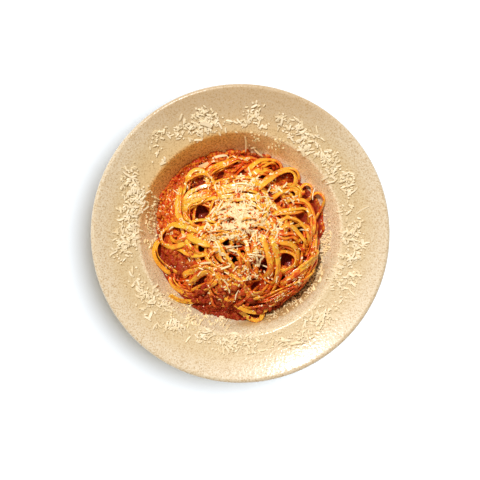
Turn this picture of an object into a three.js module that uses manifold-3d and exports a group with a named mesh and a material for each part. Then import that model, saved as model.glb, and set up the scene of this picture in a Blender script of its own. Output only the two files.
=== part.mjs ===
// Long flat pasta in a meat and tomato sauce, heaped in a wide-rimmed stoneware bowl, with
// grated hard cheese over the heap and round the rim. Millimetres, +Z up. The origin is the
// centre of the foot ring, on the surface that the bowl stands on.

import * as THREE from 'three';
import { mergeVertices } from 'three/addons/utils/BufferGeometryUtils.js';
import Module from 'manifold-3d';

const wasm = await Module();
wasm.setup();

const degrees = THREE.MathUtils.degToRad;

// ---------------------------------------------------------------- driving dimensions (mm)

const GAP = 0.35; // clear space between two pieces that touch

const OUTER_RADIUS = 135;
const WALL_THICKNESS = 6;
const LIP_RADIUS = WALL_THICKNESS / 2;
const FLOOR_HEIGHT = 9; // upper face of the well's floor
const FLOOR_RADIUS = 67;
const FILLET_RADIUS = 16; // from the floor up into the wall
const WALL_SLOPE = degrees(62);
const WALL_END_RADIUS = 90.9;
const WELL_EDGE_RADIUS = 5; // rounding where the wall turns into the rim
const RIM_INNER_SLOPE = degrees(8);
const RIM_OUTER_SLOPE = degrees(20);
const FOOT_OUTER_RADIUS = 60;
const FOOT_WIDTH = 5;
const FOOT_FLARE = 1.8; // the ring is this much wider at its root, on both sides
const BOWL_SECTORS = 56;

const SAUCE_RADIUS = 73;
const SAUCE_TOP = 23; // level of the bed that the pasta lies on
const SAUCE_EDGE = 1.6; // thickness left where the sauce runs out on the wall
const SAUCE_RUN_OUT = 16; // width of the band over which it falls to that thickness
const SAUCE_RELIEF = 1.1; // height of the minced meat's lumps
const SAUCE_LOBES = [
  { reach: 7.8, middle: degrees(138), spread: degrees(160) }, // back left
  { reach: 8, middle: degrees(-107), spread: degrees(145) }, // front
  { reach: 5.5, middle: degrees(-162), spread: degrees(60) }, // left
  { reach: 6, middle: degrees(17), spread: degrees(62) }, // right
];

const CORE_CENTRE = [4, -5];
const CORE_RADIUS = 63;
const CORE_HEIGHT = 26.5;
const CORE_BULGE = 0.56; // exponent of the dome: 0.5 is a half ellipse

const BED_MARGIN = 1; // the sauce stays level this far outside the core
const BED_BLEND = 6; // and takes its own shape this much further out

const NOODLE_WIDTH = 4.8;
const NOODLE_THICKNESS = 1.8;
const NOODLE_STEP = 5.5; // distance between two sections of a noodle
const NOODLE_SINK = 0.45; // how deep a noodle is fused into what it lies on
const HEAP_RADIUS = 80;
const EDGE_TILT = degrees(32); // roll of a noodle that lies on the heap's flank
const NOODLE_SAG = 0.35; // how much lower than its neighbours a point may hang, where it can
const SETTLE_ROUNDS = 60;
const ACROSS = [-0.5, -0.25, 0, 0.25, 0.5]; // where a noodle feels for support, in its widths
const ALONG = [-2, -1, 0, 1, 2]; // and along it, mm
const GROUND_CELL = 1.25;
const GROUND_REACH = HEAP_RADIUS + 6;

const CHEESE_CENTRE = [-5, 12];
const CHEESE_HALF_LENGTH = 29;
const CHEESE_HALF_WIDTH = 20;
const CHEESE_TURN = degrees(12);
const CHEESE_HEIGHT = 4.2;
const CHEESE_EDGE = 0.9;
const CHEESE_MARGIN = 2.2; // noodles end this far outside the cheese

const SHRED_WIDTH = 1.5;
const SHRED_THICKNESS = 1.1;
const SHRED_SINK = 0.4;
const LONG_SHRED = 9; // a shred longer than this has a bend in it

// Routes of the noodles that show, seen from above, lowest first: [width factor, points].
const NOODLE_ROUTES = [
  [1.5, [[-64, -4], [-75, -7], [-79, -15], [-77, -24], [-70, -31], [-61, -36], [-50, -36]]],
  [1.0, [[-62, 1], [-74, -6], [-74, -19], [-69, -26], [-60, -32], [-50, -34]]],
  [1.2, [[-61, -58], [-54, -60], [-45, -61.5], [-36, -62], [-24, -56]]],
  [1.3, [[-52, -34], [-62, -38], [-63, -45], [-56, -51], [-47, -56], [-36, -56]]],
  [1.0, [[-52, -36], [-59, -42], [-54, -48], [-47, -53], [-36, -53]]],
  [1.4, [[0, -62], [4, -71], [9, -76], [15, -77.5], [19, -73], [18, -64]]],
  [1.2, [[-4, -60], [4, -68], [14, -71], [23, -69], [28, -62]]],
  [1.0, [[58, 30], [68, 37], [75, 35], [77.5, 28], [74, 19], [66, 10]]],
  [1.0, [[-50, 50], [-45, 56.5], [-38, 58], [-31, 55], [-29.5, 46], [-29.5, 34]]],
  [1.2, [[-33, 50], [-26, 57.5], [-19, 62], [-11, 65], [-4, 68], [4, 66], [8, 58]]],
  [1.1, [[6, 56], [12, 64], [19, 68.5], [29, 67.5], [36, 65], [38, 59], [34, 50]]],
  [1.0, [[-50, 50], [-56, 38], [-56.5, 26], [-53, 15], [-46, 7]]],
  [1.0, [[-47, 44], [-53, 34], [-52, 24], [-48, 14], [-40, 5]]],
  [1.1, [[-44, 6], [-58, 9], [-66, 7], [-71, 1], [-71, -8], [-64, -12], [-54, -10], [-44, -4]]],
  [1.0, [[-49, 19], [-46, 27], [-40, 31.5], [-31, 33]]],
  [1.2, [[-52, 42], [-46, 49.5], [-37, 53.5], [-28, 52], [-21, 45], [-17, 35]]],
  [1.2, [[-24, 44], [-15, 48.5], [-5, 50.5], [7, 50], [20, 46], [30, 41]]],
  [1.1, [[6, 52], [14, 57], [21, 59], [28, 56], [33, 49]]],
  [1.5, [[14, 43], [22, 48], [31, 54], [40, 57.5], [48, 56], [51, 48], [46, 40]]],
  [1.0, [[52, 38], [56, 44], [62, 45], [66, 40], [66, 33], [58, 27]]],
  [1.1, [[28, 31], [34, 38], [41, 43], [49, 44.5], [55, 40], [56, 32], [50, 26]]],
  [1.1, [[38, 26], [47, 30], [57, 30], [64, 25], [67, 15], [68, 4], [65, -8], [60, -18]]],
  [1.1, [[28, 15], [38, 19.5], [48, 22], [58, 22], [64, 17], [65, 6]]],
  [1.0, [[32, 11], [43, 13], [51, 11], [57, 4], [61, -4], [62, -14]]],
  [1.1, [[-54, -2], [-44, -4], [-35, -8], [-26, -10]]],
  [1.0, [[-58, -13], [-50, -16], [-42, -20], [-33, -21], [-26, -19]]],
  [1.4, [[64, -8], [69, -19], [63, -26], [54, -33], [44, -41], [34, -48], [26, -50]]],
  [1.1, [[68, -30], [63, -38], [54, -43], [43, -48.5], [31, -53], [20, -57]]],
  [1.0, [[-12, -64], [-2, -62], [6, -57], [12, -51], [19, -45]]],
  [1.2, [[28, -6], [39, -6], [47, -9], [51, -17], [51, -26], [45, -32], [36, -35]]],
  [1.3, [[17, -5], [23, -12], [27, -21], [28, -29], [25, -37], [17, -41]]],
  [1.2, [[27, -3], [31, -13], [34, -24], [34, -34], [32, -43], [26, -51]]],
  [1.2, [[-50, -49], [-44, -44], [-38, -38.5], [-31, -35], [-24, -37]]],
  [1.0, [[-46, -33], [-38, -31], [-30, -30], [-23, -33], [-18, -41], [-16, -50]]],
  [1.0, [[-44, -50], [-37, -52], [-29, -50.5], [-20, -44]]],
  [1.1, [[-19, -9], [-14, -16], [-9, -25], [-5, -34]]],
  [1.1, [[-22, 36], [-12, 40], [0, 43.5], [12, 44], [24, 40]]],
  [1.0, [[-12, -50], [-6, -46], [-1, -39], [1, -30], [0, -19]]],
  [1.0, [[5, -12], [7.5, -19], [7, -27], [9, -36]]],
  [1.0, [[-38, 45], [-34, 40], [-26, 38], [-18, 36]]],
  [1.0, [[60, -20], [57, -12], [53, -3], [46, 4], [36, 6]]],
];

// Cheese round the rim: [from degree, to degree, inner radius, outer radius, shreds].
const RIM_CHEESE = [
  [160, 180, 96, 110, 6], [150, 159, 99, 113, 3], [127, 136, 98, 114, 2], [100, 127, 96, 114, 8],
  [80, 99, 97, 112, 3], [62, 78, 97, 113, 4], [40, 60, 96, 112, 5], [25, 38, 97, 112, 4],
  [0, 20, 97, 113, 4], [-18, 0, 97, 114, 4], [-38, -18, 98, 112, 2], [-76, -38, 97, 108, 4],
  [-115, -76, 97, 108, 4], [-140, -124, 97, 113, 4], [-160, -140, 98, 110, 2],
  [-180, -160, 96, 111, 6],
];
const RIM_SHRED_LENGTHS = [5, 11];
const RIM_SHRED_BEND = 0.6; // largest sideways bow, as for the heap's shreds below
const RIM_SEED = 11;
const HEAP_SHREDS = 12;
const HEAP_SHRED_LENGTHS = [8, 15];
const HEAP_SHRED_BEND = 1.2;
const HEAP_SHRED_SPREAD = 0.62; // their middles keep to this share of the cheese heap
const HEAP_SEED = 5;

// ---------------------------------------------------------------- tools

/** A repeatable random source, so that every build scatters its pieces alike. */
function seeded(seed) {
  let state = seed;
  return () => {
    state = (state + 0x6d2b79f5) | 0;
    let bits = Math.imul(state ^ (state >>> 15), 1 | state);
    bits = (bits + Math.imul(bits ^ (bits >>> 7), 61 | bits)) ^ bits;
    return ((bits ^ (bits >>> 14)) >>> 0) / 2 ** 32;
  };
}

/** Points on a circular arc, both ends included, angles in radians. */
function arc(centreX, centreY, radius, from, to, segments) {
  return Array.from({ length: segments + 1 }, (_, index) => {
    const angle = from + ((to - from) * index) / segments;
    return new THREE.Vector2(centreX + radius * Math.cos(angle), centreY + radius * Math.sin(angle));
  });
}

/** The geometry as a solid for joining: shared vertices, and no triangle without area. */
function toSolid(geometry) {
  const bare = geometry.clone();
  bare.deleteAttribute('normal');
  bare.deleteAttribute('uv');
  const merged = mergeVertices(bare, 1e-4);
  const corners = [];
  for (let index = 0; index < merged.index.count; index += 3) {
    const triangle = [0, 1, 2].map((corner) => merged.index.getX(index + corner));
    if (new Set(triangle).size === 3) corners.push(...triangle);
  }
  const mesh = new wasm.Mesh({
    numProp: 3,
    vertProperties: new Float32Array(merged.attributes.position.array),
    triVerts: new Uint32Array(corners),
  });
  return new wasm.Manifold(mesh);
}

/** One body from a base and the pieces on it: sealed hollows are filled, loose scraps dropped. */
function fuse(base, pieces) {
  const joined = pieces.reduce((sum, piece) => sum.add(toSolid(piece)), toSolid(base));
  const bodies = joined.decompose();
  const largest = bodies.reduce((best, body) => (body.volume() > best.volume() ? body : best));
  const mesh = largest.getMesh();
  const geometry = new THREE.BufferGeometry();
  geometry.setAttribute('position', new THREE.BufferAttribute(mesh.vertProperties, 3));
  geometry.setIndex(new THREE.BufferAttribute(mesh.triVerts, 1));
  geometry.computeVertexNormals();
  return geometry;
}

/** A solid of revolution about +Z from a profile of (radius, height) points. */
function turned(profile, sectors) {
  return new THREE.LatheGeometry(profile, sectors).rotateX(Math.PI / 2);
}

/**
 * A round cake bent to an uneven shape. Each vertex has a share of the outline's radius, from
 * 0 to 1, and an angle, and place(share, angle, onTop) gives the point where it goes.
 */
function moulded(rings, sectors, place) {
  const shares = Array.from({ length: rings + 1 }, (_, ring) => ring / rings);
  const underside = shares.map((share) => new THREE.Vector2(share, -1));
  const upperSide = shares.map((share) => new THREE.Vector2(share, 1)).reverse();
  const geometry = turned([...underside, ...upperSide], sectors);
  const position = geometry.attributes.position;
  for (let index = 0; index < position.count; index += 1) {
    const x = position.getX(index);
    const y = position.getY(index);
    const point = place(Math.hypot(x, y), Math.atan2(y, x), position.getZ(index) > 0);
    position.setXYZ(index, point.x, point.y, point.z);
  }
  geometry.computeVertexNormals();
  return geometry;
}

/** A point at a radius and an angle from a centre, at a height. */
function polar(centre, radius, angle, height) {
  const [x, y] = centre;
  return new THREE.Vector3(x + radius * Math.cos(angle), y + radius * Math.sin(angle), height);
}

/** The reach at the middle angle, falling smoothly to 0 at half the spread on each side. */
function lobe(angle, { reach, middle, spread }) {
  const offset = Math.abs(THREE.MathUtils.euclideanModulo(angle - middle + Math.PI, 2 * Math.PI) - Math.PI);
  return reach * THREE.MathUtils.smoothstep(spread / 2 - offset, 0, spread / 2);
}

function plainMaterial(color, roughness) {
  return new THREE.MeshStandardMaterial({ color, roughness, metalness: 0 });
}

// ---------------------------------------------------------------- the bowl

/** Upper face of the bowl from the axis to the lip, as (radius, height) points. */
function upperProfile() {
  const floorEnd = new THREE.Vector2(FLOOR_RADIUS, FLOOR_HEIGHT);
  const filletTop = -Math.PI / 2 + WALL_SLOPE;
  const fillet = arc(floorEnd.x, floorEnd.y + FILLET_RADIUS, FILLET_RADIUS, -Math.PI / 2, filletTop, 5);

  const wallStart = fillet.at(-1);
  const wallRun = WALL_END_RADIUS - wallStart.x;
  const wallEnd = new THREE.Vector2(WALL_END_RADIUS, wallStart.y + wallRun * Math.tan(WALL_SLOPE));
  const wallFacing = Math.PI / 2 + WALL_SLOPE;
  const edgeX = wallEnd.x - WELL_EDGE_RADIUS * Math.cos(wallFacing);
  const edgeY = wallEnd.y - WELL_EDGE_RADIUS * Math.sin(wallFacing);
  const edge = arc(edgeX, edgeY, WELL_EDGE_RADIUS, wallFacing, Math.PI / 2 + RIM_INNER_SLOPE, 3);

  const rimStart = edge.at(-1);
  const rimEndRadius = OUTER_RADIUS - LIP_RADIUS * (1 + Math.sin(RIM_OUTER_SLOPE));
  const rimRadius = (rimEndRadius - rimStart.x) / (Math.sin(RIM_OUTER_SLOPE) - Math.sin(RIM_INNER_SLOPE));
  const rimX = rimStart.x - rimRadius * Math.sin(RIM_INNER_SLOPE);
  const rimY = rimStart.y + rimRadius * Math.cos(RIM_INNER_SLOPE);
  const rimFrom = -Math.PI / 2 + RIM_INNER_SLOPE;
  const rimTo = -Math.PI / 2 + RIM_OUTER_SLOPE;
  const rim = arc(rimX, rimY, rimRadius, rimFrom, rimTo, 4);
  const rimBack = arc(rimX, rimY, rimRadius + WALL_THICKNESS, rimTo, rimFrom + degrees(2), 2);
  return { face: [...fillet, ...edge, ...rim], wallStart, wallEnd, rimBack };
}

const PROFILE = upperProfile();

/** The lip: half a circle from the rim's upper face round to its back. */
function lipProfile() {
  const rimEnd = PROFILE.face.at(-1);
  const facing = Math.PI / 2 + RIM_OUTER_SLOPE;
  const x = rimEnd.x - LIP_RADIUS * Math.cos(facing);
  const y = rimEnd.y - LIP_RADIUS * Math.sin(facing);
  return arc(x, y, LIP_RADIUS, facing - Math.PI, facing, 5).slice(1, -1);
}

/** Underside of the bowl from the axis out over the foot ring and up to the rim's back. */
function lowerProfile() {
  const underFloor = FLOOR_HEIGHT - WALL_THICKNESS;
  const footInner = FOOT_OUTER_RADIUS - FOOT_WIDTH;
  const foot = [
    new THREE.Vector2(0, underFloor),
    new THREE.Vector2(footInner - FOOT_FLARE, underFloor),
    new THREE.Vector2(footInner, 0),
    new THREE.Vector2(FOOT_OUTER_RADIUS, 0),
    new THREE.Vector2(FOOT_OUTER_RADIUS + FOOT_FLARE, underFloor),
  ];
  const filletRadius = FILLET_RADIUS + WALL_THICKNESS;
  const filletTop = -Math.PI / 2 + WALL_SLOPE;
  const fillet = arc(FLOOR_RADIUS, FLOOR_HEIGHT + FILLET_RADIUS, filletRadius, -Math.PI / 2, filletTop, 4);

  const rimBackEnd = PROFILE.rimBack.at(-1);
  const wallFoot = fillet.at(-1);
  const cornerRadius = PROFILE.wallEnd.x + WALL_THICKNESS * Math.sin(WALL_SLOPE);
  const cornerHeight = wallFoot.y + (cornerRadius - wallFoot.x) * Math.tan(WALL_SLOPE);
  const corner = new THREE.Vector2(cornerRadius, cornerHeight);
  const bendStart = wallFoot.clone().lerp(corner, 0.7);
  const bend = new THREE.QuadraticBezierCurve(bendStart, corner, rimBackEnd).getPoints(3);
  return [...foot, ...fillet, ...bend, ...PROFILE.rimBack.slice(0, -1).reverse()];
}

/** Height of the bowl's upper face at a radius. */
function bowlHeight(radius) {
  const face = PROFILE.face;
  const next = face.findIndex((point) => point.x >= radius);
  if (next === 0) return FLOOR_HEIGHT;
  if (next < 0) return face.at(-1).y;
  const inner = face[next - 1];
  const outer = face[next];
  return inner.y + ((outer.y - inner.y) * (radius - inner.x)) / (outer.x - inner.x);
}

/** The bare bowl. */
function bowlGeometry() {
  const top = PROFILE.face.slice().reverse();
  const axis = new THREE.Vector2(0, FLOOR_HEIGHT);
  return turned([...lowerProfile(), ...lipProfile(), ...top, axis], BOWL_SECTORS);
}

// ---------------------------------------------------------------- strips: noodles and shreds

/** A route whose flat section keeps facing the way that facing(point) gives. */
class StripCurve extends THREE.CatmullRomCurve3 {
  constructor(points, facing) {
    super(points);
    this.facing = facing;
  }

  computeFrenetFrames(segments) {
    const shares = Array.from({ length: segments + 1 }, (_, index) => index / segments);
    const tangents = shares.map((share) => this.getTangentAt(share));
    const normals = shares.map((share, index) => {
      const tangent = tangents[index];
      const facing = this.facing(this.getPointAt(share));
      return facing.addScaledVector(tangent, -facing.dot(tangent)).normalize();
    });
    const binormals = tangents.map((tangent, index) => tangent.clone().cross(normals[index]));
    return { tangents, normals, binormals };
  }
}

/** A flat strip of even width along a curve. */
function stripGeometry(curve, width, thickness, steps) {
  const section = new THREE.Shape([
    new THREE.Vector2(-thickness / 2, -width / 2),
    new THREE.Vector2(thickness / 2, -width / 2),
    new THREE.Vector2(thickness / 2, width / 2),
    new THREE.Vector2(-thickness / 2, width / 2),
  ]);
  return new THREE.ExtrudeGeometry(section, { steps, extrudePath: curve });
}

/** A shred of cheese that lies on a surface, slightly bent sideways. */
function shred(x, y, heading, length, bend, surface) {
  const along = new THREE.Vector2(Math.cos(heading), Math.sin(heading));
  const across = new THREE.Vector2(-along.y, along.x);
  const points = [-1, 0, 1].map((side) => {
    const swing = bend * (1 - side * side);
    const px = x + (along.x * side * length) / 2 + across.x * swing;
    const py = y + (along.y * side * length) / 2 + across.y * swing;
    return new THREE.Vector3(px, py, surface(px, py) + SHRED_THICKNESS / 2 - SHRED_SINK);
  });
  const curve = new StripCurve(points, () => new THREE.Vector3(0, 0, 1));
  return stripGeometry(curve, SHRED_WIDTH, SHRED_THICKNESS, length > LONG_SHRED ? 2 : 1);
}

/** The larger shreds that lie on the rim, in their clusters. */
function rimShreds() {
  const random = seeded(RIM_SEED);
  const onRim = (x, y) => bowlHeight(Math.hypot(x, y));
  return RIM_CHEESE.flatMap(([from, to, inner, outer, count]) =>
    Array.from({ length: count }, (_, index) => {
      const angle = degrees(from + ((to - from) * (index + random())) / count);
      const radius = THREE.MathUtils.lerp(inner, outer, random());
      const length = THREE.MathUtils.lerp(...RIM_SHRED_LENGTHS, random() ** 2);
      const point = polar([0, 0], radius, angle, 0);
      return shred(point.x, point.y, random() * Math.PI, length, RIM_SHRED_BEND * (random() - 0.5), onRim);
    }),
  );
}

// ---------------------------------------------------------------- sauce, pasta core, cheese

/** Radius at which the sauce runs out: furthest at the back left and at the front. */
function sauceRadius(angle) {
  const waves = 0.9 * Math.sin(5 * angle + 1) + 0.6 * Math.sin(9 * angle + 2);
  return SAUCE_LOBES.reduce((radius, bulge) => radius + lobe(angle, bulge), SAUCE_RADIUS + waves);
}

/** Relief of the minced meat, from -1 to 1. */
function lumps(x, y) {
  return (Math.sin(x * 0.62 + 1.1) * Math.sin(y * 0.57 + 0.4) + Math.sin((x + y) * 0.33)) / 2;
}

/** Height of the sauce: a level bed under the pasta, then lumpy down to its edge. */
function sauceHeight(x, y) {
  const radius = Math.hypot(x, y);
  const edge = sauceRadius(Math.atan2(y, x));
  const outOfCore = (coreShare(x, y) - 1) * CORE_RADIUS;
  const out = THREE.MathUtils.clamp((outOfCore - BED_MARGIN) / BED_BLEND, 0, 1);
  const share = THREE.MathUtils.smoothstep(radius, edge - SAUCE_RUN_OUT, edge);
  const runOut = bowlHeight(Math.min(radius, edge)) + GAP + SAUCE_EDGE;
  const fall = THREE.MathUtils.lerp(SAUCE_TOP, runOut, out * share);
  return fall + out * (1 - share) * SAUCE_RELIEF * lumps(x, y);
}

function sauceGeometry() {
  return moulded(6, 40, (share, angle, onTop) => {
    const radius = share * sauceRadius(angle);
    const x = radius * Math.cos(angle);
    const y = radius * Math.sin(angle);
    return new THREE.Vector3(x, y, onTop ? sauceHeight(x, y) : bowlHeight(radius) + GAP);
  });
}

/** 0 at the middle of the pasta core, 1 at its outline. */
function coreShare(x, y) {
  return Math.hypot(x - CORE_CENTRE[0], y - CORE_CENTRE[1]) / CORE_RADIUS;
}

/** Height of the pasta core's dome, below everything outside its outline. */
function coreHeight(x, y) {
  const share = coreShare(x, y);
  if (share >= 1) return 0;
  return SAUCE_TOP + GAP + CORE_HEIGHT * (1 - share ** 2) ** CORE_BULGE;
}

function coreGeometry() {
  return moulded(8, 44, (share, angle, onTop) => {
    const eased = Math.sin((share * Math.PI) / 2); // rings crowd towards the steep outline
    const point = polar(CORE_CENTRE, eased * CORE_RADIUS, angle, SAUCE_TOP + GAP);
    const dome = Math.max(0, 1 - eased ** 2) ** CORE_BULGE;
    point.z += onTop ? CORE_HEIGHT * dome : 0;
    return point;
  });
}

/** Which way is out of the heap: straight up at its top, tilted outward on its flank. */
function heapFacing(point) {
  const radius = Math.hypot(point.x, point.y) || 1;
  const tilt = EDGE_TILT * Math.min(1, radius / HEAP_RADIUS) ** 2;
  const outward = Math.sin(tilt) / radius;
  return new THREE.Vector3(point.x * outward, point.y * outward, Math.cos(tilt));
}

/** 1 on the outline of the cheese heap when margin is 0, less inside it. */
function cheeseShare(x, y, margin = 0) {
  const offset = new THREE.Vector2(x - CHEESE_CENTRE[0], y - CHEESE_CENTRE[1]);
  offset.rotateAround(new THREE.Vector2(), -CHEESE_TURN);
  return Math.hypot(offset.x / (CHEESE_HALF_LENGTH + margin), offset.y / (CHEESE_HALF_WIDTH + margin));
}

/** Height of the cheese heap's upper face. */
function cheeseHeight(x, y) {
  const mound = Math.max(0, 1 - cheeseShare(x, y) ** 2);
  return coreHeight(x, y) + GAP + CHEESE_EDGE + (CHEESE_HEIGHT - CHEESE_EDGE) * mound;
}

function cheeseCore() {
  return moulded(5, 22, (share, angle, onTop) => {
    const offset = new THREE.Vector2(
      share * CHEESE_HALF_LENGTH * Math.cos(angle),
      share * CHEESE_HALF_WIDTH * Math.sin(angle),
    ).rotateAround(new THREE.Vector2(), CHEESE_TURN);
    const x = CHEESE_CENTRE[0] + offset.x;
    const y = CHEESE_CENTRE[1] + offset.y;
    return new THREE.Vector3(x, y, onTop ? cheeseHeight(x, y) : coreHeight(x, y) + GAP);
  });
}

/** Shreds that lie criss-cross on the cheese heap, inside its outline. */
function heapShreds() {
  const random = seeded(HEAP_SEED);
  return Array.from({ length: HEAP_SHREDS }, () => {
    const radius = HEAP_SHRED_SPREAD * Math.sqrt(random());
    const angle = 2 * Math.PI * random();
    const x = CHEESE_CENTRE[0] + radius * CHEESE_HALF_LENGTH * Math.cos(angle);
    const y = CHEESE_CENTRE[1] + radius * CHEESE_HALF_WIDTH * Math.sin(angle);
    const length = THREE.MathUtils.lerp(...HEAP_SHRED_LENGTHS, random());
    const bend = HEAP_SHRED_BEND * (random() - 0.5);
    return shred(x, y, random() * Math.PI, length, bend, cheeseHeight);
  });
}

// ---------------------------------------------------------------- laying the noodles

/** Heights of what is already in the bowl, on a square grid, for the noodles to lie on. */
class Ground {
  constructor(reach, cell) {
    this.reach = reach;
    this.cell = cell;
    this.size = Math.ceil((2 * reach) / cell) + 1;
    this.heights = new Float32Array(this.size * this.size);
    for (let row = 0; row < this.size; row += 1) {
      for (let column = 0; column < this.size; column += 1) {
        const x = column * cell - reach;
        const y = row * cell - reach;
        this.heights[row * this.size + column] = Ground.bare(x, y);
      }
    }
  }

  /** The lowest that a noodle's underside may go: into the core, but clear of sauce and bowl. */
  static bare(x, y) {
    const radius = Math.hypot(x, y);
    const inSauce = radius < sauceRadius(Math.atan2(y, x)) + GROUND_CELL;
    const clear = Math.max(bowlHeight(radius), inSauce ? sauceHeight(x, y) : 0) + 2 * GAP;
    return Math.max(clear, coreHeight(x, y) - NOODLE_SINK);
  }

  index(x, y) {
    const limit = (value) => THREE.MathUtils.clamp(Math.round(value), 0, this.size - 1);
    return limit((y + this.reach) / this.cell) * this.size + limit((x + this.reach) / this.cell);
  }

  at(x, y) {
    return this.heights[this.index(x, y)];
  }

  raise(x, y, height) {
    const index = this.index(x, y);
    this.heights[index] = Math.max(this.heights[index], height);
  }
}

/** The longest run of the points that stays outside the cheese heap. */
function clearOfCheese(points) {
  const runs = [[]];
  for (const point of points) {
    if (cheeseShare(point.x, point.y, CHEESE_MARGIN + NOODLE_WIDTH / 2) > 1) runs.at(-1).push(point);
    else runs.push([]);
  }
  return runs.reduce((best, run) => (run.length > best.length ? run : best));
}

/** Lowers a stiff strand onto the supports below its points: it bridges what it can't follow. */
function settle(supports) {
  let heights = supports.map(() => Math.max(...supports));
  for (let round = 0; round < SETTLE_ROUNDS; round += 1) {
    heights = heights.map((height, index) => {
      const before = heights[Math.max(0, index - 1)];
      const after = heights[Math.min(heights.length - 1, index + 1)];
      return Math.max(supports[index], (before + after) / 2 - NOODLE_SAG);
    });
  }
  return heights;
}

/** One noodle laid along its route on top of what is there, which it then raises. */
function layNoodle(ground, [widthFactor, route]) {
  const width = NOODLE_WIDTH * widthFactor;
  const plan = new THREE.CatmullRomCurve3(route.map(([x, y]) => new THREE.Vector3(x, y, 0)));
  const fine = clearOfCheese(plan.getSpacedPoints(Math.round(plan.getLength())));
  const steps = Math.max(3, Math.round(fine.length / NOODLE_STEP));
  const cut = new THREE.CatmullRomCurve3(fine);
  const points = cut.getSpacedPoints(steps);
  const offsets = ACROSS.map((share) => share * width);
  const sides = points.map((point, index) => {
    const tangent = cut.getTangentAt(index / steps);
    return tangent.cross(heapFacing(point)).normalize();
  });
  const supports = points.map((point, index) => {
    const side = sides[index];
    const across = offsets.flatMap((offset) =>
      ALONG.map((reach) => {
        const x = point.x + side.x * offset - side.y * reach;
        const y = point.y + side.y * offset + side.x * reach;
        return ground.at(x, y) - side.z * offset;
      }),
    );
    return Math.max(...across);
  });
  settle(supports).forEach((height, index) => {
    points[index].z = height + NOODLE_THICKNESS / 2;
  });
  const curve = new StripCurve(points, heapFacing);
  const samples = Math.round(curve.getLength());
  for (let index = 0; index <= samples; index += 1) {
    const point = curve.getPointAt(index / samples);
    const side = curve.getTangentAt(index / samples).cross(heapFacing(point)).normalize();
    for (const offset of offsets) {
      const top = point.z + side.z * offset + NOODLE_THICKNESS / 2 - NOODLE_SINK;
      ground.raise(point.x + side.x * offset, point.y + side.y * offset, top);
    }
  }
  return stripGeometry(curve, width, NOODLE_THICKNESS, steps);
}

function noodles() {
  const ground = new Ground(GROUND_REACH, GROUND_CELL);
  return NOODLE_ROUTES.map((route) => layNoodle(ground, route));
}

// ---------------------------------------------------------------- the object

const bowl = new THREE.Mesh(fuse(bowlGeometry(), rimShreds()), plainMaterial('#ead8b4', 0.38));
bowl.name = 'bowl';

const sauce = new THREE.Mesh(sauceGeometry(), plainMaterial('#a5301a', 0.4));
sauce.name = 'meat_sauce';

const pasta = new THREE.Mesh(fuse(coreGeometry(), noodles()), plainMaterial('#e9a235', 0.4));
pasta.name = 'pasta';

const cheese = new THREE.Mesh(fuse(cheeseCore(), heapShreds()), plainMaterial('#f8eecb', 0.6));
cheese.name = 'grated_cheese';

const plate = new THREE.Group();
plate.add(bowl, sauce, pasta, cheese);

export default plate;
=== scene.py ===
"""Long flat pasta with a meat and tomato sauce in a wide-rimmed stoneware bowl.

Noodles, sauce, minced meat and grated cheese are laid one after another on a map of heights,
so that each piece lies on what was there before it. Sizes are in millimetres up to the point
where a mesh is made, and metres from there on.
"""

import logging
import math
from collections.abc import Callable, Sequence
from dataclasses import dataclass, field, replace
from enum import Enum

import bmesh
import bpy
import numpy as np
from mathutils import Matrix, Vector


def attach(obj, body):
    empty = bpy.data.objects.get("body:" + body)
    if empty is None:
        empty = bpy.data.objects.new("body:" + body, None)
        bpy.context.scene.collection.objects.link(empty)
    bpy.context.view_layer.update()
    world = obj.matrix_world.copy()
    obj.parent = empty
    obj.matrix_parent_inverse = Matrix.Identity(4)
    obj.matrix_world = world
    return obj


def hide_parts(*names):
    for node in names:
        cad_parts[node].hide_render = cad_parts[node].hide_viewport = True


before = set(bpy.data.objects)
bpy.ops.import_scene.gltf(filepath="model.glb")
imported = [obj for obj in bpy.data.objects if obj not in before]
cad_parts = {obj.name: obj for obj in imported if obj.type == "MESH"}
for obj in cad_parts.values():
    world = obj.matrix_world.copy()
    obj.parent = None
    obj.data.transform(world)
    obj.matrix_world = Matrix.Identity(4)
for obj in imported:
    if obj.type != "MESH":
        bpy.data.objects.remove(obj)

log = logging.getLogger("pasta_bowl")

MM = 0.001
BODY = "root"

Array = np.ndarray
Rng = np.random.Generator
Material = bpy.types.Material
Socket = bpy.types.NodeSocket
Color = tuple[float, float, float]
Point = tuple[float, float]
Span = tuple[float, float]
Faces = list[list[int]]


class Slot(Enum):
    """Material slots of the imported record."""

    STONEWARE = "stoneware"
    SAUCE = "meat_sauce"
    PASTA = "pasta"
    CHEESE = "cheese"


# ------------------------------------------------------------------ heights and meshes


def rows(kind: type, *values: tuple) -> tuple:
    """One object of a kind from each row of values."""
    return tuple(kind(*row) for row in values)


def smoothstep(value: Array, low: float, high: float) -> Array:
    """Ease a value, from 0 at low to 1 at high."""
    share = np.clip((value - low) / (high - low), 0.0, 1.0)
    return share * share * (3.0 - 2.0 * share)


def toward(angle: float) -> Array:
    """Unit vector at an angle in the plan."""
    return np.array([math.cos(angle), math.sin(angle)])


def unit(vectors: Array) -> Array:
    """Vectors at length 1, one a row."""
    return vectors / np.linalg.norm(vectors, axis=1)[:, None]


def left_of(along: Array) -> Array:
    """Plan vectors turned a quarter to the left, one a row."""
    return np.column_stack([-along[:, 1], along[:, 0]])


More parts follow.
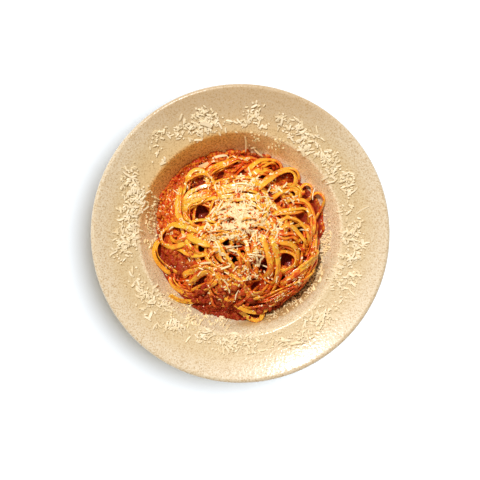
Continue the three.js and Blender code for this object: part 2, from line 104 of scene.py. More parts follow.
class PlanGrid:
    """Values on a square grid over the plan."""

    def __init__(self, reach: float, cell: float) -> None:
        """Set half the width of the grid and the distance between two of its points."""
        self.reach, self.cell = reach, cell
        self.z = np.zeros((1, 1))

    def cells(self, places: Array) -> Array:
        """Plan coordinates, counted in cells from the corner."""
        return (np.asarray(places, float) + self.reach) / self.cell

    def ease(self, share: Array) -> Array:
        """Course of the values from one grid point to the next."""
        return share

    def at(self, x: Array, y: Array) -> Array:
        """Read the values between the grid points.

        Args:
            x: Plan coordinates.
            y: Plan coordinates.

        Returns:
            The value at each point.
        """
        limit = self.z.shape[0] - 1.001
        column, row = np.clip(self.cells(x), 0, limit), np.clip(self.cells(y), 0, limit)
        c0, r0 = column.astype(int), row.astype(int)
        c, r = self.ease(column - c0), self.ease(row - r0)
        low = self.z[r0, c0] * (1 - c) + self.z[r0, c0 + 1] * c
        high = self.z[r0 + 1, c0] * (1 - c) + self.z[r0 + 1, c0 + 1] * c
        return low * (1 - r) + high * r


class SmoothNoise(PlanGrid):
    """Repeatable noise over the plan, from -1 to 1, with bumps of about one cell."""

    def __init__(self, seed: int, cell: float, reach: float = 160.0) -> None:
        """Draw the grid of values.

        Args:
            seed: Seed of the random source.
            cell: Distance between two grid points.
            reach: Half the width of the area that the noise covers.
        """
        super().__init__(reach, cell)
        size = int(2 * reach / cell) + 3
        self.z = np.random.default_rng(seed).uniform(-1.0, 1.0, (size, size))

    def ease(self, share: Array) -> Array:
        """Course of the values from one grid point to the next, without a kink."""
        return smoothstep(share, 0.0, 1.0)


class HeightMap(PlanGrid):
    """Heights of what lies in the bowl so far."""

    def __init__(self, reach: float, cell: float, bare: Callable) -> None:
        """Start from the bare surfaces.

        Args:
            reach: Half the width of the grid.
            cell: Distance between two grid points.
            bare: Height of the bare surfaces at plan points (x, y).
        """
        super().__init__(reach, cell)
        axis = np.arange(-reach, reach + cell / 2, cell)
        self.x, self.y = np.meshgrid(axis, axis)
        self.z = bare(self.x, self.y)

    def raise_to(self, points: Array) -> None:
        """Raise the grid to points (x, y, z) that lie above it."""
        column, row = np.clip(np.rint(self.cells(points[:, :2])), 0, self.z.shape[0] - 1).astype(int).T
        np.maximum.at(self.z, (row, column), points[:, 2])

    def evened(self, rounds: int, kept: Callable) -> "HeightMap":
        """A smoother copy of the map.

        Args:
            rounds: How often each height is mixed with its neighbours.
            kept: The heights to even out, from plan coordinates and the heights of the map.

        Returns:
            The copy.
        """
        smooth = HeightMap(self.reach, self.cell, lambda x, y: kept(x, y, self.z))
        for _ in range(rounds):
            for axis in (0, 1):
                smooth.z = (np.roll(smooth.z, 1, axis) + 2 * smooth.z + np.roll(smooth.z, -1, axis)) / 4
        return smooth


def new_piece(mesh: bpy.types.Mesh, material: Material) -> bpy.types.Object:
    """Put a mesh in the scene, under its own name.

    Args:
        mesh: The mesh.
        material: Its material.

    Returns:
        The object, at the origin.
    """
    mesh.materials.append(material)
    piece = bpy.data.objects.new(mesh.name, mesh)
    bpy.context.scene.collection.objects.link(piece)
    log.info("%s: %d faces", mesh.name, len(mesh.polygons))
    return piece


@dataclass(frozen=True)
class SoakAndShade:
    """How sauce juices that ran out on one side of the sauce, and the heap's painted shadow there, darken
    what lies near it.

    It weakens over a stretch beyond the sauce, over cosines of the turn away from the azimuth
    and over a rise above the surface below.
    """

    azimuth: float
    near: Span = (6, 12)
    side: Span = (0.62, 0.88)
    rise: Span = (0.5, 2.8)
    depth: float = 3.4
    drying_and_top_light: float = 2.8
    rest: float = 0.4

    def depths(self, points: Array, outline: Callable, bare: Callable) -> Array:
        """Depth in sauce juices and painted shade that the colours of a shape follow.

        Args:
            points: Points (x, y, z), one a row.
            outline: Radius of the sauce at each angle.
            bare: Height of the surface that the shapes lie on, at each radius.

        Returns:
            The depth of each point.
        """
        x, y, z = points.T
        angle, radius = np.arctan2(y, x), np.hypot(x, y)
        # The heap's painted shadow, partly sauce juices: darker near the sauce on that side, and the lower
        # pieces darker as painted shade.
        near = 1 - smoothstep(radius - outline(angle), *self.near)
        side = smoothstep(np.cos(angle - self.azimuth), *self.side)
        dry = smoothstep(z - bare(radius), *self.rise)
        return near * side * (self.depth - self.drying_and_top_light * dry) - self.rest


@dataclass
class Gathered:
    """Many small closed shapes, gathered into one mesh."""

    points: list[Array] = field(default_factory=list)
    faces: Faces = field(default_factory=list)
    marks: dict[str, list[Array]] = field(default_factory=dict)
    count: int = 0

    def add(self, points: Array, faces: Faces, **marks: float | Array) -> None:
        """Add one shape.

        Args:
            points: Its vertices, one a row.
            faces: Its faces, as lists of its own vertex numbers.
            marks: Values kept for its vertices, each a number or one number a vertex.
        """
        self.faces.extend([[corner + self.count for corner in face] for face in faces])
        self.points.append(points)
        for name, value in marks.items():
            values = np.broadcast_to(np.asarray(value, float), (len(points),))
            self.marks.setdefault(name, []).append(values)
        self.count += len(points)

    def mark_depth(self, surface: HeightMap) -> None:
        """Keep for each vertex how far it lies below the evened surface of the heap, for painted shade and
        sauce colour.
        """
        x, y, z = np.concatenate(self.points).T
        self.marks["depth"] = [surface.at(x, y) - z]

    def to_object(self, name: str, material: Material, smooth: bool = True) -> bpy.types.Object:
        """Make the mesh object, at the origin and in metres.

        Args:
            name: Name of the object.
            material: Its material.
            smooth: Whether its faces shade smoothly.

        Returns:
            The object.
        """
        mesh = bpy.data.meshes.new(name)
        mesh.from_pydata((np.concatenate(self.points) * MM).tolist(), [], self.faces)
        for mark, values in self.marks.items():
            attribute = mesh.attributes.new(mark, "FLOAT", "POINT")
            attribute.data.foreach_set("value", np.concatenate(values).astype(np.float32))
        mesh.polygons.foreach_set("use_smooth", [smooth] * len(mesh.polygons))
        mesh.update()
        return new_piece(mesh, material)


def sweep(centres: Array, sides: Array, ups: Array, section: Array) -> tuple[Array, Faces]:
    """Sweep a section along a line.

    Args:
        centres: Points of the line, (n, 3).
        sides: Unit vector across it at each point, (n, 3).
        ups: Unit vector out of it at each point, (n, 3).
        section: Section points (across, out) for each point of the line, (n, k, 2).

    Returns:
        Vertices and faces of the closed shape.
    """
    count, corners = section.shape[:2]
    ring = centres[:, None, :] + sides[:, None, :] * section[:, :, :1] + ups[:, None, :] * section[:, :, 1:]
    step = np.arange(count - 1)[:, None] * corners
    here = step + np.arange(corners)[None, :]
    beside = step + (np.arange(corners)[None, :] + 1) % corners
    quads = np.stack([here, beside, beside + corners, here + corners], axis=-1).reshape(-1, 4).tolist()
    last = (count - 1) * corners
    caps = [list(range(corners - 1, -1, -1)), list(range(last, last + corners))]
    return ring.reshape(-1, 3), quads + caps


def smooth_line(values: Array, rounds: int) -> Array:
    """Even out values along a line, ends kept in place.

    Args:
        values: One value a point.
        rounds: How often each value is mixed with its neighbours.

    Returns:
        The evened values.
    """
    for _ in range(rounds):
        padded = np.concatenate([values[:1], values, values[-1:]])
        values = (padded[:-2] + 2 * padded[1:-1] + padded[2:]) / 4
    return values


def spline(points: Sequence[Point], spacing: float) -> Array:
    """Run a smooth curve through plan points, at even steps.

    Args:
        points: Points that it passes.
        spacing: Distance between two points of the result.

    Returns:
        Points of the curve, (n, 2).
    """
    p = np.asarray(points, float)
    p = np.vstack([2 * p[0] - p[1], p, 2 * p[-1] - p[-2]])
    share = np.linspace(0, 1, 24, endpoint=False)[:, None]
    runs = []
    for a, b, c, d in zip(p, p[1:], p[2:], p[3:]):
        cubic = 3 * b - a - 3 * c + d
        square = 2 * a - 5 * b + 4 * c - d
        runs.append(b + 0.5 * ((c - a) * share + square * share**2 + cubic * share**3))
    fine = np.vstack([*runs, p[-2:-1]])
    travel = np.concatenate([[0], np.cumsum(np.linalg.norm(np.diff(fine, axis=0), axis=1))])
    stops = np.linspace(0, travel[-1], max(4, round(travel[-1] / spacing) + 1))
    return np.column_stack([np.interp(stops, travel, fine[:, axis]) for axis in (0, 1)])


# ------------------------------------------------------------------ the bowl


@dataclass(frozen=True)
class Bowl:
    """A round bowl with a flat floor, a steep wall and a wide, slightly dished rim."""

    outer_radius: float = 135.0
    wall: float = 6.0
    floor_height: float = 9.0
    floor_radius: float = 67.0
    fillet: float = 16.0
    wall_slope: float = math.radians(62)
    wall_end: float = 90.9
    edge: float = 5.0
    rim_inner_slope: float = math.radians(8)
    rim_outer_slope: float = math.radians(20)
    back_end: float = math.radians(2)
    back_bend: float = 0.7
    foot_outer: float = 60.0
    foot_width: float = 5.0
    foot_flare: float = 1.8
    foot_rounding: float = 0.8
    sectors: int = 160

    @staticmethod
    def arc(centre: Point, radius: float, start: float, end: float, segments: int) -> Array:
        """Points on an arc from a start to an end angle, both ends included."""
        angle = np.linspace(start, end, segments + 1)
        return np.column_stack([centre[0] + radius * np.cos(angle), centre[1] + radius * np.sin(angle)])

    def face(self) -> dict[str, Array]:
        """Upper face from the floor's edge to the lip, and the back of the rim.

        Returns:
            The points (radius, height) of each stretch, by name.
        """
        down, up = -math.pi / 2, math.pi / 2
        fillet_centre = (self.floor_radius, self.floor_height + self.fillet)
        fillet = self.arc(fillet_centre, self.fillet, down, down + self.wall_slope, 10)
        foot = fillet[-1]
        top = np.array([self.wall_end, foot[1] + (self.wall_end - foot[0]) * math.tan(self.wall_slope)])
        facing = up + self.wall_slope
        edge = self.arc(top - self.edge * toward(facing), self.edge, facing, up + self.rim_inner_slope, 8)
        lip = self.wall / 2
        rim_end = self.outer_radius - lip * (1 + math.sin(self.rim_outer_slope))
        rise = math.sin(self.rim_outer_slope) - math.sin(self.rim_inner_slope)
        radius = (rim_end - edge[-1][0]) / rise
        centre = (
            edge[-1][0] - radius * math.sin(self.rim_inner_slope),
            edge[-1][1] + radius * math.cos(self.rim_inner_slope),
        )
        inner, outer = down + self.rim_inner_slope, down + self.rim_outer_slope
        rim = self.arc(centre, radius, inner, outer, 14)
        back = self.arc(centre, radius + self.wall, outer, inner + self.back_end, 8)
        lip_facing = up + self.rim_outer_slope
        rolled = self.arc(rim[-1] - lip * toward(lip_facing), lip, lip_facing, lip_facing - math.pi, 12)
        wall = np.linspace(foot, top, 6)
        return {"upper": np.vstack([fillet, wall[1:], edge[1:], rim[1:]]), "lip": rolled, "back": back}

    def profile(self) -> Array:
        """Whole outline from the axis on the upper face round to the axis underneath.

        Returns:
            The points (radius, height).
        """
        face = self.face()
        down = -math.pi / 2
        fillet_centre = (self.floor_radius, self.floor_height + self.fillet)
        outer_fillet = self.arc(fillet_centre, self.fillet + self.wall, down + self.wall_slope, down, 8)
        wall_foot = outer_fillet[0]
        corner_radius = self.wall_end + self.wall * math.sin(self.wall_slope)
        rise = (corner_radius - wall_foot[0]) * math.tan(self.wall_slope)
        corner = np.array([corner_radius, wall_foot[1] + rise])
        start = wall_foot + self.back_bend * (corner - wall_foot)
        t = np.linspace(0, 1, 8)[:, None]
        bend = face["back"][-1] * (1 - t) ** 2 + 2 * corner * t * (1 - t) + start * t**2
        under = self.floor_height - self.wall
        r = self.foot_rounding
        side = [(self.foot_flare, under), (0.3 * r, r), (-0.3 * r, 0.2 * r), (-r, 0)]
        outer = [(self.foot_outer + out, z) for out, z in side]
        inner = [(self.foot_outer - self.foot_width - out, z) for out, z in reversed(side)]
        middle = np.array([(0, self.floor_height), (self.floor_radius / 2, self.floor_height)])
        upper = [middle, face["upper"], face["lip"][1:], face["back"][1:]]
        return np.vstack([*upper, bend[1:], outer_fillet, np.array([*outer, *inner, (0, under)])])

    def height(self, radius: Array) -> Array:
        """Height of the upper face at each radius."""
        upper = self.face()["upper"]
        return np.interp(radius, upper[:, 0], upper[:, 1], left=self.floor_height)

    def build(self, material: Material) -> bpy.types.Object:
        """Spin the outline into the bowl.

        Args:
            material: The glaze.

        Returns:
            The bowl.
        """
        shape = bmesh.new()
        outline = [shape.verts.new((r * MM, 0.0, z * MM)) for r, z in self.profile()]
        edges = [shape.edges.new(pair) for pair in zip(outline, outline[1:])]
        bmesh.ops.spin(
            shape, geom=[*outline, *edges], cent=(0, 0, 0), axis=(0, 0, 1),
            angle=2 * math.pi, steps=self.sectors, use_merge=True,
        )
        bmesh.ops.remove_doubles(shape, verts=shape.verts, dist=1e-6)
        bmesh.ops.recalc_face_normals(shape, faces=shape.faces)
        for face in shape.faces:
            face.smooth = True
        mesh = bpy.data.meshes.new("stoneware_bowl")
        shape.to_mesh(mesh)
        shape.free()
        return new_piece(mesh, material)


# ------------------------------------------------------------------ sauce and core


@dataclass(frozen=True)
class Lobe:
    """A stretch of an outline that reaches further out than the rest, angles in degrees."""

    reach: float
    middle: float
    spread: float

    def at(self, angle: Array) -> Array:
        """How far it reaches at an angle.

        Args:
            angle: Angle in radians.

        Returns:
            The reach, falling to 0 at half the spread on each side.
        """
        turn = np.mod(angle - math.radians(self.middle) + math.pi, 2 * math.pi) - math.pi
        half = math.radians(self.spread) / 2
        return self.reach * smoothstep(half - np.abs(turn), 0, half)


@dataclass(frozen=True)
class Hollow:
    """A dark gap that goes down between the noodles."""

    x: float
    y: float
    radius: float
    depth: float


@dataclass(frozen=True)
class Lumps:
    """Relief of a lumpy face: height and width of its coarse and of its fine lumps."""

    coarse: Span
    fine: Span
    seed: int

    def relief(self) -> Callable:
        """Draw the lumps.

        Returns:
            Their height at plan points (x, y).
        """
        coarse, fine = SmoothNoise(self.seed, self.coarse[1]), SmoothNoise(self.seed + 1, self.fine[1])
        return lambda x, y: self.coarse[0] * coarse.at(x, y) + self.fine[0] * fine.at(x, y)


HOLLOWS = rows(
    Hollow,
    (-35.5, 19, 6.5, 14), (57, 14, 4.0, 6), (54, 3, 4.0, 6), (32, 32, 4.0, 3), (60, 38, 3.6, 3),
    (47, 51, 4.0, 2.5), (21, -31, 5.0, 6), (42, -24, 6.0, 4), (38, -42, 3.5, 5), (13, -48, 4.5, 5),
    (14, -65, 5.0, 5), (-5, -25, 3.0, 7), (3.2, -17, 2.4, 6), (-35, -15, 3.0, 5), (-13, -8, 3.4, 9),
    (-3.5, -11, 3.2, 9), (-35, -43, 5.5, 6), (-61, -20, 9.0, 10), (-65, -5, 3.5, 5), (-38, 48, 4.0, 4),
)


@dataclass(frozen=True)
class HeapForm:
    """Forms of the sauce bed and of the core that the noodles lie on."""

    bowl: Bowl
    sauce_radius: float = 73.0
    sauce_top: float = 23.0
    sauce_edge: float = 1.6
    run_out: float = 16.0
    level_width: float = 6.0
    lobes: tuple[Lobe, ...] = rows(Lobe, (7.8, 138, 160), (8.0, -107, 145), (5.5, -162, 60), (6.0, 17, 62))
    core_centre: Point = (4.0, -5.0)
    core_radius: float = 61.0
    core_height: float = 13.0
    core_bulge: float = 0.56
    core_sink: float = 9.0
    bed_lumps: Lumps = Lumps((0.8, 5.0), (0.6, 1.9), 31)
    core_lumps: Lumps = Lumps((0.7, 4.5), (0.5, 1.8), 41)
    bed_mesh: tuple[int, int] = (46, 220)
    core_mesh: tuple[int, int] = (44, 180)
    hollow_width: float = 1.3
    hollow_steepness: float = 1.4
    lowest: float = -6.0
    full_rise: float = 24.0
    heap_radius: float = 80.0
    edge_tilt: float = math.radians(32)
    hollows: tuple[Hollow, ...] = HOLLOWS
    pit_reach: float = 4.0
    pit_share: float = 0.75
    pit_depth: float = 2.5

    def sauce_outline(self, angle: Array) -> Array:
        """Radius at which the sauce runs out, with its lobes and small waves.

        Args:
            angle: Angle in radians.

        Returns:
            The radius at each angle.
        """
        waves = 0.9 * np.sin(5 * angle + 1) + 0.6 * np.sin(9 * angle + 2)
        waves = waves + 0.5 * np.sin(17 * angle + 1.7 * np.sin(4 * angle)) + 0.4 * np.sin(31 * angle)
        return self.sauce_radius + sum(lobe.at(angle) for lobe in self.lobes) + waves

    def inside(self, x: Array, y: Array) -> Array:
        """How far plan points lie inside the outline of the sauce."""
        return self.sauce_outline(np.arctan2(y, x)) - np.hypot(x, y)

    def in_hollow(self, x: Array, y: Array) -> Array:
        """Whether plan points lie in one of the hollows."""
        return np.any([np.hypot(x - h.x, y - h.y) < h.radius for h in self.hollows], axis=0)

    def holds(self, ground: HeightMap, x: float, y: float) -> bool:
        """Whether cheese may lie at a plan point: on the food, off its hollows and pits.

        Args:
            ground: Heights of what is there.
            x: Plan coordinate.
            y: Plan coordinate.

        Returns:
            True where it may.
        """
        compass = np.array([toward(turn * math.pi / 4) for turn in range(8)]) * self.pit_reach
        around = np.quantile(ground.at(x + compass[:, 0], y + compass[:, 1]), self.pit_share)
        pit = around - ground.at(x, y) > self.pit_depth
        return self.inside(x, y) > 1.0 and not self.in_hollow(x, y) and not pit

    def sauce_height(self, x: Array, y: Array) -> Array:
        """Height of the sauce bed.

        Args:
            x: Plan coordinates.
            y: Plan coordinates.

        Returns:
            The height at each point, 0 outside the outline.
        """
        radius = np.hypot(x, y)
        edge = self.sauce_outline(np.arctan2(y, x))
        out = np.clip((self.core_share(x, y) - 1) * self.core_radius / self.level_width, 0, 1)
        share = smoothstep(radius - edge, -self.run_out, 0)
        run_out = self.bowl.height(np.minimum(radius, edge)) + self.sauce_edge
        height = self.sauce_top + (run_out - self.sauce_top) * out * share
        return np.where(radius > edge, 0.0, height)

    def core_share(self, x: Array, y: Array) -> Array:
        """Distance from the core's middle, 1 at its outline."""
        return np.hypot(x - self.core_centre[0], y - self.core_centre[1]) / self.core_radius

    def core_top(self, x: Array, y: Array) -> Array:
        """Height of the core's dome with its hollows.

        Args:
            x: Plan coordinates.
            y: Plan coordinates.

        Returns:
            The height at each point, 0 outside the core.
        """
        share = self.core_share(x, y)
        dome = self.core_height * np.maximum(0, 1 - share**2) ** self.core_bulge
        for hollow in self.hollows:
            away = np.hypot(x - hollow.x, y - hollow.y) / (self.hollow_width * hollow.radius)
            dome = dome - hollow.depth * np.exp(-(away**2) * self.hollow_steepness)
        return np.where(share < 1, self.sauce_top + np.maximum(dome, self.lowest), 0.0)

    def full_height(self, x: Array, y: Array) -> Array:
        """Height that the buried noodles fill up to."""
        share = np.minimum(self.core_share(x, y), 1.0)
        return self.sauce_top + self.full_rise * (1 - share**2) ** self.core_bulge

    def food_only(self, x: Array, y: Array, height: Array) -> Array:
        """Heights of the food, kept low where the bowl's wall rises round it."""
        low = np.minimum(height, self.sauce_top - 5.0)
        return np.where(self.inside(x, y) < 1.0, low, height)

    def bare(self, x: Array, y: Array) -> Array:
        """Height of bowl, sauce bed and core together."""
        ground = np.maximum(self.bowl.height(np.hypot(x, y)), self.sauce_height(x, y))
        return np.maximum(ground, self.core_top(x, y))

    @staticmethod
    def cake(
        centre: Point, outline: Callable, top: Callable, bottom: Callable, cuts: tuple[int, int]
    ) -> Gathered:
        """A closed round cake between two surfaces.

        Args:
            centre: Its middle.
            outline: Its radius at each angle.
            top: Height of its upper face at plan points (x, y).
            bottom: Height of its underside at plan points (x, y).
            cuts: Rings from the middle to the outline, and sectors round it.

        Returns:
            The cake.
        """
        rings, sectors = cuts
        angle = np.arange(sectors) * 2 * math.pi / sectors
        radius = (np.arange(1, rings + 1) / rings)[:, None] * outline(angle)[None, :]
        x = np.concatenate([[centre[0]], (centre[0] + radius * np.cos(angle)).ravel()])
        y = np.concatenate([[centre[1]], (centre[1] + radius * np.sin(angle)).ravel()])
        faces = []
        size = len(x)
        for sector in range(sectors):
            a, b = 1 + sector, 1 + (sector + 1) % sectors
            faces += [[0, a, b], [size, size + b, size + a]]
            for _ in range(rings - 1):
                faces.append([a, a + sectors, b + sectors, b])
                faces.append([size + b, size + b + sectors, size + a + sectors, size + a])
                a, b = a + sectors, b + sectors
            faces.append([a, size + a, size + b, b])
        shape = Gathered()
        shape.add(np.vstack([np.column_stack([x, y, face(x, y)]) for face in (top, bottom)]), faces)
        return shape

    def build_bed(self) -> Gathered:
        """The sauce bed, with the relief of the minced meat.

        Returns:
            The bed.
        """
        relief = self.bed_lumps.relief()

        def top(x: Array, y: Array) -> Array:
            """Height of the lumpy face at plan points x, y."""
            lumps = smoothstep(self.inside(x, y), 0, 3) * relief(x, y)
            return np.maximum(self.sauce_height(x, y), self.bowl.height(np.hypot(x, y)) + 0.5) + lumps

        def bottom(x: Array, y: Array) -> Array:
            """Height of the underside at plan points x, y."""
            return self.bowl.height(np.hypot(x, y)) - 0.4

        return self.cake((0.0, 0.0), self.sauce_outline, top, bottom, self.bed_mesh)

    def build_core(self) -> Gathered:
        """The saucy core under the noodles.

        Returns:
            The core.
        """
        relief = self.core_lumps.relief()

        def top(x: Array, y: Array) -> Array:
            """Height of the lumpy face at plan points x, y, read a little further in."""
            inner = [middle + (p - middle) * 0.999 for p, middle in zip((x, y), self.core_centre)]
            return self.core_top(*inner) + relief(x, y)

        def bottom(x: Array, y: Array) -> Array:
            """Height of the underside at plan points x, y."""
            return np.full_like(x, self.sauce_top - self.core_sink)

        def outline(angle: Array) -> Array:
            """Radius of the core at each angle."""
            return np.full_like(angle, self.core_radius)

        return self.cake(self.core_centre, outline, top, bottom, self.core_mesh)


# ------------------------------------------------------------------ noodles


@dataclass(frozen=True)
class Noodle:
    """One noodle that shows.

    Its visible width in millimetres at the start and at the end of its route says how far it
    turns on its edge; sauce runs from 0 (bare) to 1 (coated).
    """

    start: float
    end: float
    sauce: float
    route: tuple[Point, ...]


RIM_NOODLES = rows(
    Noodle,
    (4.6, 4.6, 0.1, ((-70, -3), (-76, -8), (-78.8, -15), (-77.6, -22), (-74.6, -27.4), (-70.4, -31.9),
        (-66, -35.3), (-58, -37))),
    (4.8, 4.8, -0.1, ((-64, -56), (-59, -59.2), (-54, -61.1), (-49, -62), (-44, -62.3), (-36, -60.5),
        (-27, -56))),
    (4.8, 4.8, -0.25, ((-3, -64), (0, -70), (4, -74), (7.4, -76.7), (11.7, -78.6), (16, -78.8),
        (19, -76.8), (20.3, -72), (18, -65))),
    (4.4, 4.4, -0.1, ((-8, -62), (0, -67.5), (7, -70.6), (13.6, -71.9), (19.2, -71.5), (23.8, -69),
        (26.2, -64.5), (24, -58))),
    (3.0, 3.0, 0.3, ((58, 27), (63, 31.5), (67, 35.8), (70.7, 37.2), (73.9, 35.4), (76, 32.4),
        (76.4, 28.6), (73.5, 21.4), (68.5, 13.4), (62, 7))),
    (4.8, 4.8, 0.0, ((-62, -34), (-64.2, -41), (-61.5, -47.5), (-56.7, -51.7), (-51.7, -54.7),
        (-45, -56.8), (-36, -56))),
    (3.6, 3.6, 0.0, ((-71, -2), (-75.6, -10), (-76.4, -15.5), (-75.2, -20.4), (-72.5, -24.6), (-69, -28),
        (-65.0, -30.7), (-61.2, -33.4), (-56, -36), (-50, -36))),
    (3.4, 3.4, 0.1, ((-60, -34), (-61, -41.5), (-58.3, -46.4), (-54.2, -50.1), (-47, -53.2),
        (-39, -54.5))),
    (3.4, 3.4, 0.4, ((66.5, 16), (67.6, 6), (66.8, -1), (66.3, -7.4), (66, -14), (62, -22))),
)
EDGE_NOODLES = rows(
    Noodle,
    (3.2, 3.2, 0.35, ((69, 12), (69.5, -4), (67, -19), (62, -34), (53, -48), (41, -58), (27, -66),
        (12, -69))),
    (3.2, 3.2, 0.25, ((66, 4), (67, -10), (65, -24), (58, -38), (47, -50), (33, -60), (19, -66),
        (4, -68))),
    (3.4, 3.4, 0.2, ((68.5, 6), (68.5, -8), (66, -23), (61, -36), (50, -50), (37, -59), (22, -65))),
    (3.2, 3.2, 0.3, ((67, -2), (66, -15), (61, -28), (52, -41), (41, -51), (27, -59), (13, -63))),
    (3.6, 3.6, 0.1, ((69, 2), (69, -11), (66, -26), (59, -40), (48, -52), (34, -60))),
    (3.2, 3.2, 0.2, ((68, -8), (65, -22), (59, -35), (49, -47), (37, -56), (23, -62))),
)
SIDE_NOODLES = rows(
    Noodle,
    (4.4, 4.4, 0.0, ((-50, 43), (-47.4, 51), (-44.9, 55.2), (-41, 57.8), (-37.4, 58.1), (-33.6, 56.5),
        (-31, 54), (-29.9, 50.5), (-29.5, 45.5), (-29.9, 40.5), (-30.5, 32))),
    (4.0, 4.5, 0.1, ((-35, 46), (-30.4, 54.5), (-27, 58), (-23, 61), (-18, 63.5), (-13, 65), (-9.2, 66.4),
        (-5.5, 68.4), (-0.5, 69.3), (5, 67), (9, 60))),
    (3.7, 3.7, 0.15, ((-31, 45), (-25.5, 54.6), (-21.7, 57.6), (-17.4, 59.8), (-13, 61.4), (-8.6, 63.4),
        (-4.2, 65.8), (0, 66.2), (5, 62))),
    (5.5, 4.5, 0.1, ((6, 55), (11, 61.5), (15.5, 65.3), (20, 67.4), (26, 68), (30.5, 67.6), (34.2, 66.2),
        (37, 63.4), (38, 59), (36, 53))),
    (3.4, 3.4, 0.35, ((13, 55), (19.9, 59.9), (24, 62.6), (28.6, 64.6), (32.5, 64.4), (34.6, 60))),
    (4.6, 4.6, 0.0, ((-55, 49), (-54.3, 41), (-56.2, 32), (-57.3, 23), (-55.5, 15), (-51, 8.5), (-45, 5),
        (-39, 2.5), (-31, 1))),
    (3.8, 3.8, 0.1, ((-48, 47), (-51, 38), (-53, 30), (-52.5, 23), (-50, 17), (-46, 11), (-41, 7),
        (-33, 4))),
    (3.4, 3.4, 0.25, ((-52.5, 47), (-54.3, 37), (-54.8, 29), (-54.6, 21), (-52.5, 13), (-47.5, 7.6),
        (-40, 4.4))),
    (4.8, 5.3, 0.1, ((-44, 5), (-55, 7), (-61, 8.3), (-65, 7), (-69, 3.5), (-72.3, -1), (-72.4, -5.5),
        (-70.4, -9), (-66, -11.6), (-60.5, -12.2), (-54.5, -10.4), (-46, -6))),
    (3.2, 3.4, 0.1, ((-67, 1), (-63.8, -3), (-61, -6.1), (-57.4, -7.4), (-53.6, -6), (-49.2, -4.7),
        (-42, -3))),
    (5.0, 5.0, 0.05, ((-50, 13), (-49.4, 20.5), (-48, 25.5), (-44.2, 28.5), (-39.2, 30.2), (-34.9, 31.7),
        (-30, 33.6), (-22, 33))),
    (5.0, 5.0, 0.15, ((-51, 19), (-48.5, 27.5), (-43.5, 32.8), (-37.5, 35.4), (-31, 37.7), (-22, 37))),
    (4.5, 4.5, 0.2, ((-52, 22), (-50, 30), (-46, 36.5), (-40.5, 39.6), (-34.5, 42), (-27, 43.5),
        (-20, 42))),
    (6.0, 5.5, 0.05, ((6, 49), (11.5, 53.6), (17, 56.8), (23, 57.4), (28.5, 55.5), (33, 50))),
    (3.4, 3.4, 0.2, ((50, 36), (56.4, 42.6), (58.6, 44.7), (61.7, 45), (64.7, 43.3), (65.8, 40.2),
        (65.4, 35.6), (62.5, 31), (56, 27))),
    (3.4, 3.4, 0.5, ((52, 26), (57, 26.6), (61, 24), (63.6, 18), (64.6, 10), (64, 0), (63.6, -10.5),
        (62, -19))),
    (4.0, 4.0, 0.3, ((36, 26), (45.5, 30.3), (51, 31), (56.7, 30.2), (60.5, 28.2), (63.6, 24.6),
        (65.9, 20.4), (67.2, 16), (67.6, 11), (67, 4), (64.5, -4))),
    (4.0, 3.4, 0.5, ((57, 7), (58.4, -2), (57.6, -11), (56, -18), (55, -26), (50, -34))),
    (6.0, 6.0, 0.05, ((66, -16), (66, -20.6), (61, -26), (57, -29.6), (52.5, -33.4), (47.5, -37.2),
        (43, -41), (38.5, -44.8), (32, -48))),
    (4.5, 3.7, 0.0, ((66, -13), (70, -17.6), (65, -22.4), (60.2, -26.8), (55.5, -31), (49, -35))),
    (3.6, 3.6, 0.0, ((68, -27), (66.6, -34), (63, -38.4), (58, -41.7), (53, -43.6), (48, -45.4),
        (43, -47.6), (36.7, -50.5), (31.7, -52.8), (27, -55), (19, -58))),
    (3.7, 3.7, 0.35, ((57, -45), (49, -48.4), (41.7, -51), (34, -54.6), (28, -57.4), (20, -60))),
    (3.2, 3.2, 0.3, ((45, -52), (37, -55.6), (29.6, -59.4), (22, -61.8), (13, -62.5))),
    (3.7, 3.7, 0.3, ((-9, -66), (-2.4, -64.6), (1.7, -61.7), (5.5, -58.4), (8.6, -55.3), (12.4, -51.7),
        (17.5, -48))),
    (3.4, 3.4, 0.55, ((-13, -60), (-5, -58), (1, -54), (6, -49), (12, -44))),
    (5.8, 5.8, 0.1, ((-15.5, -67), (-13.5, -62.5), (-11, -58), (-8, -52))),
)
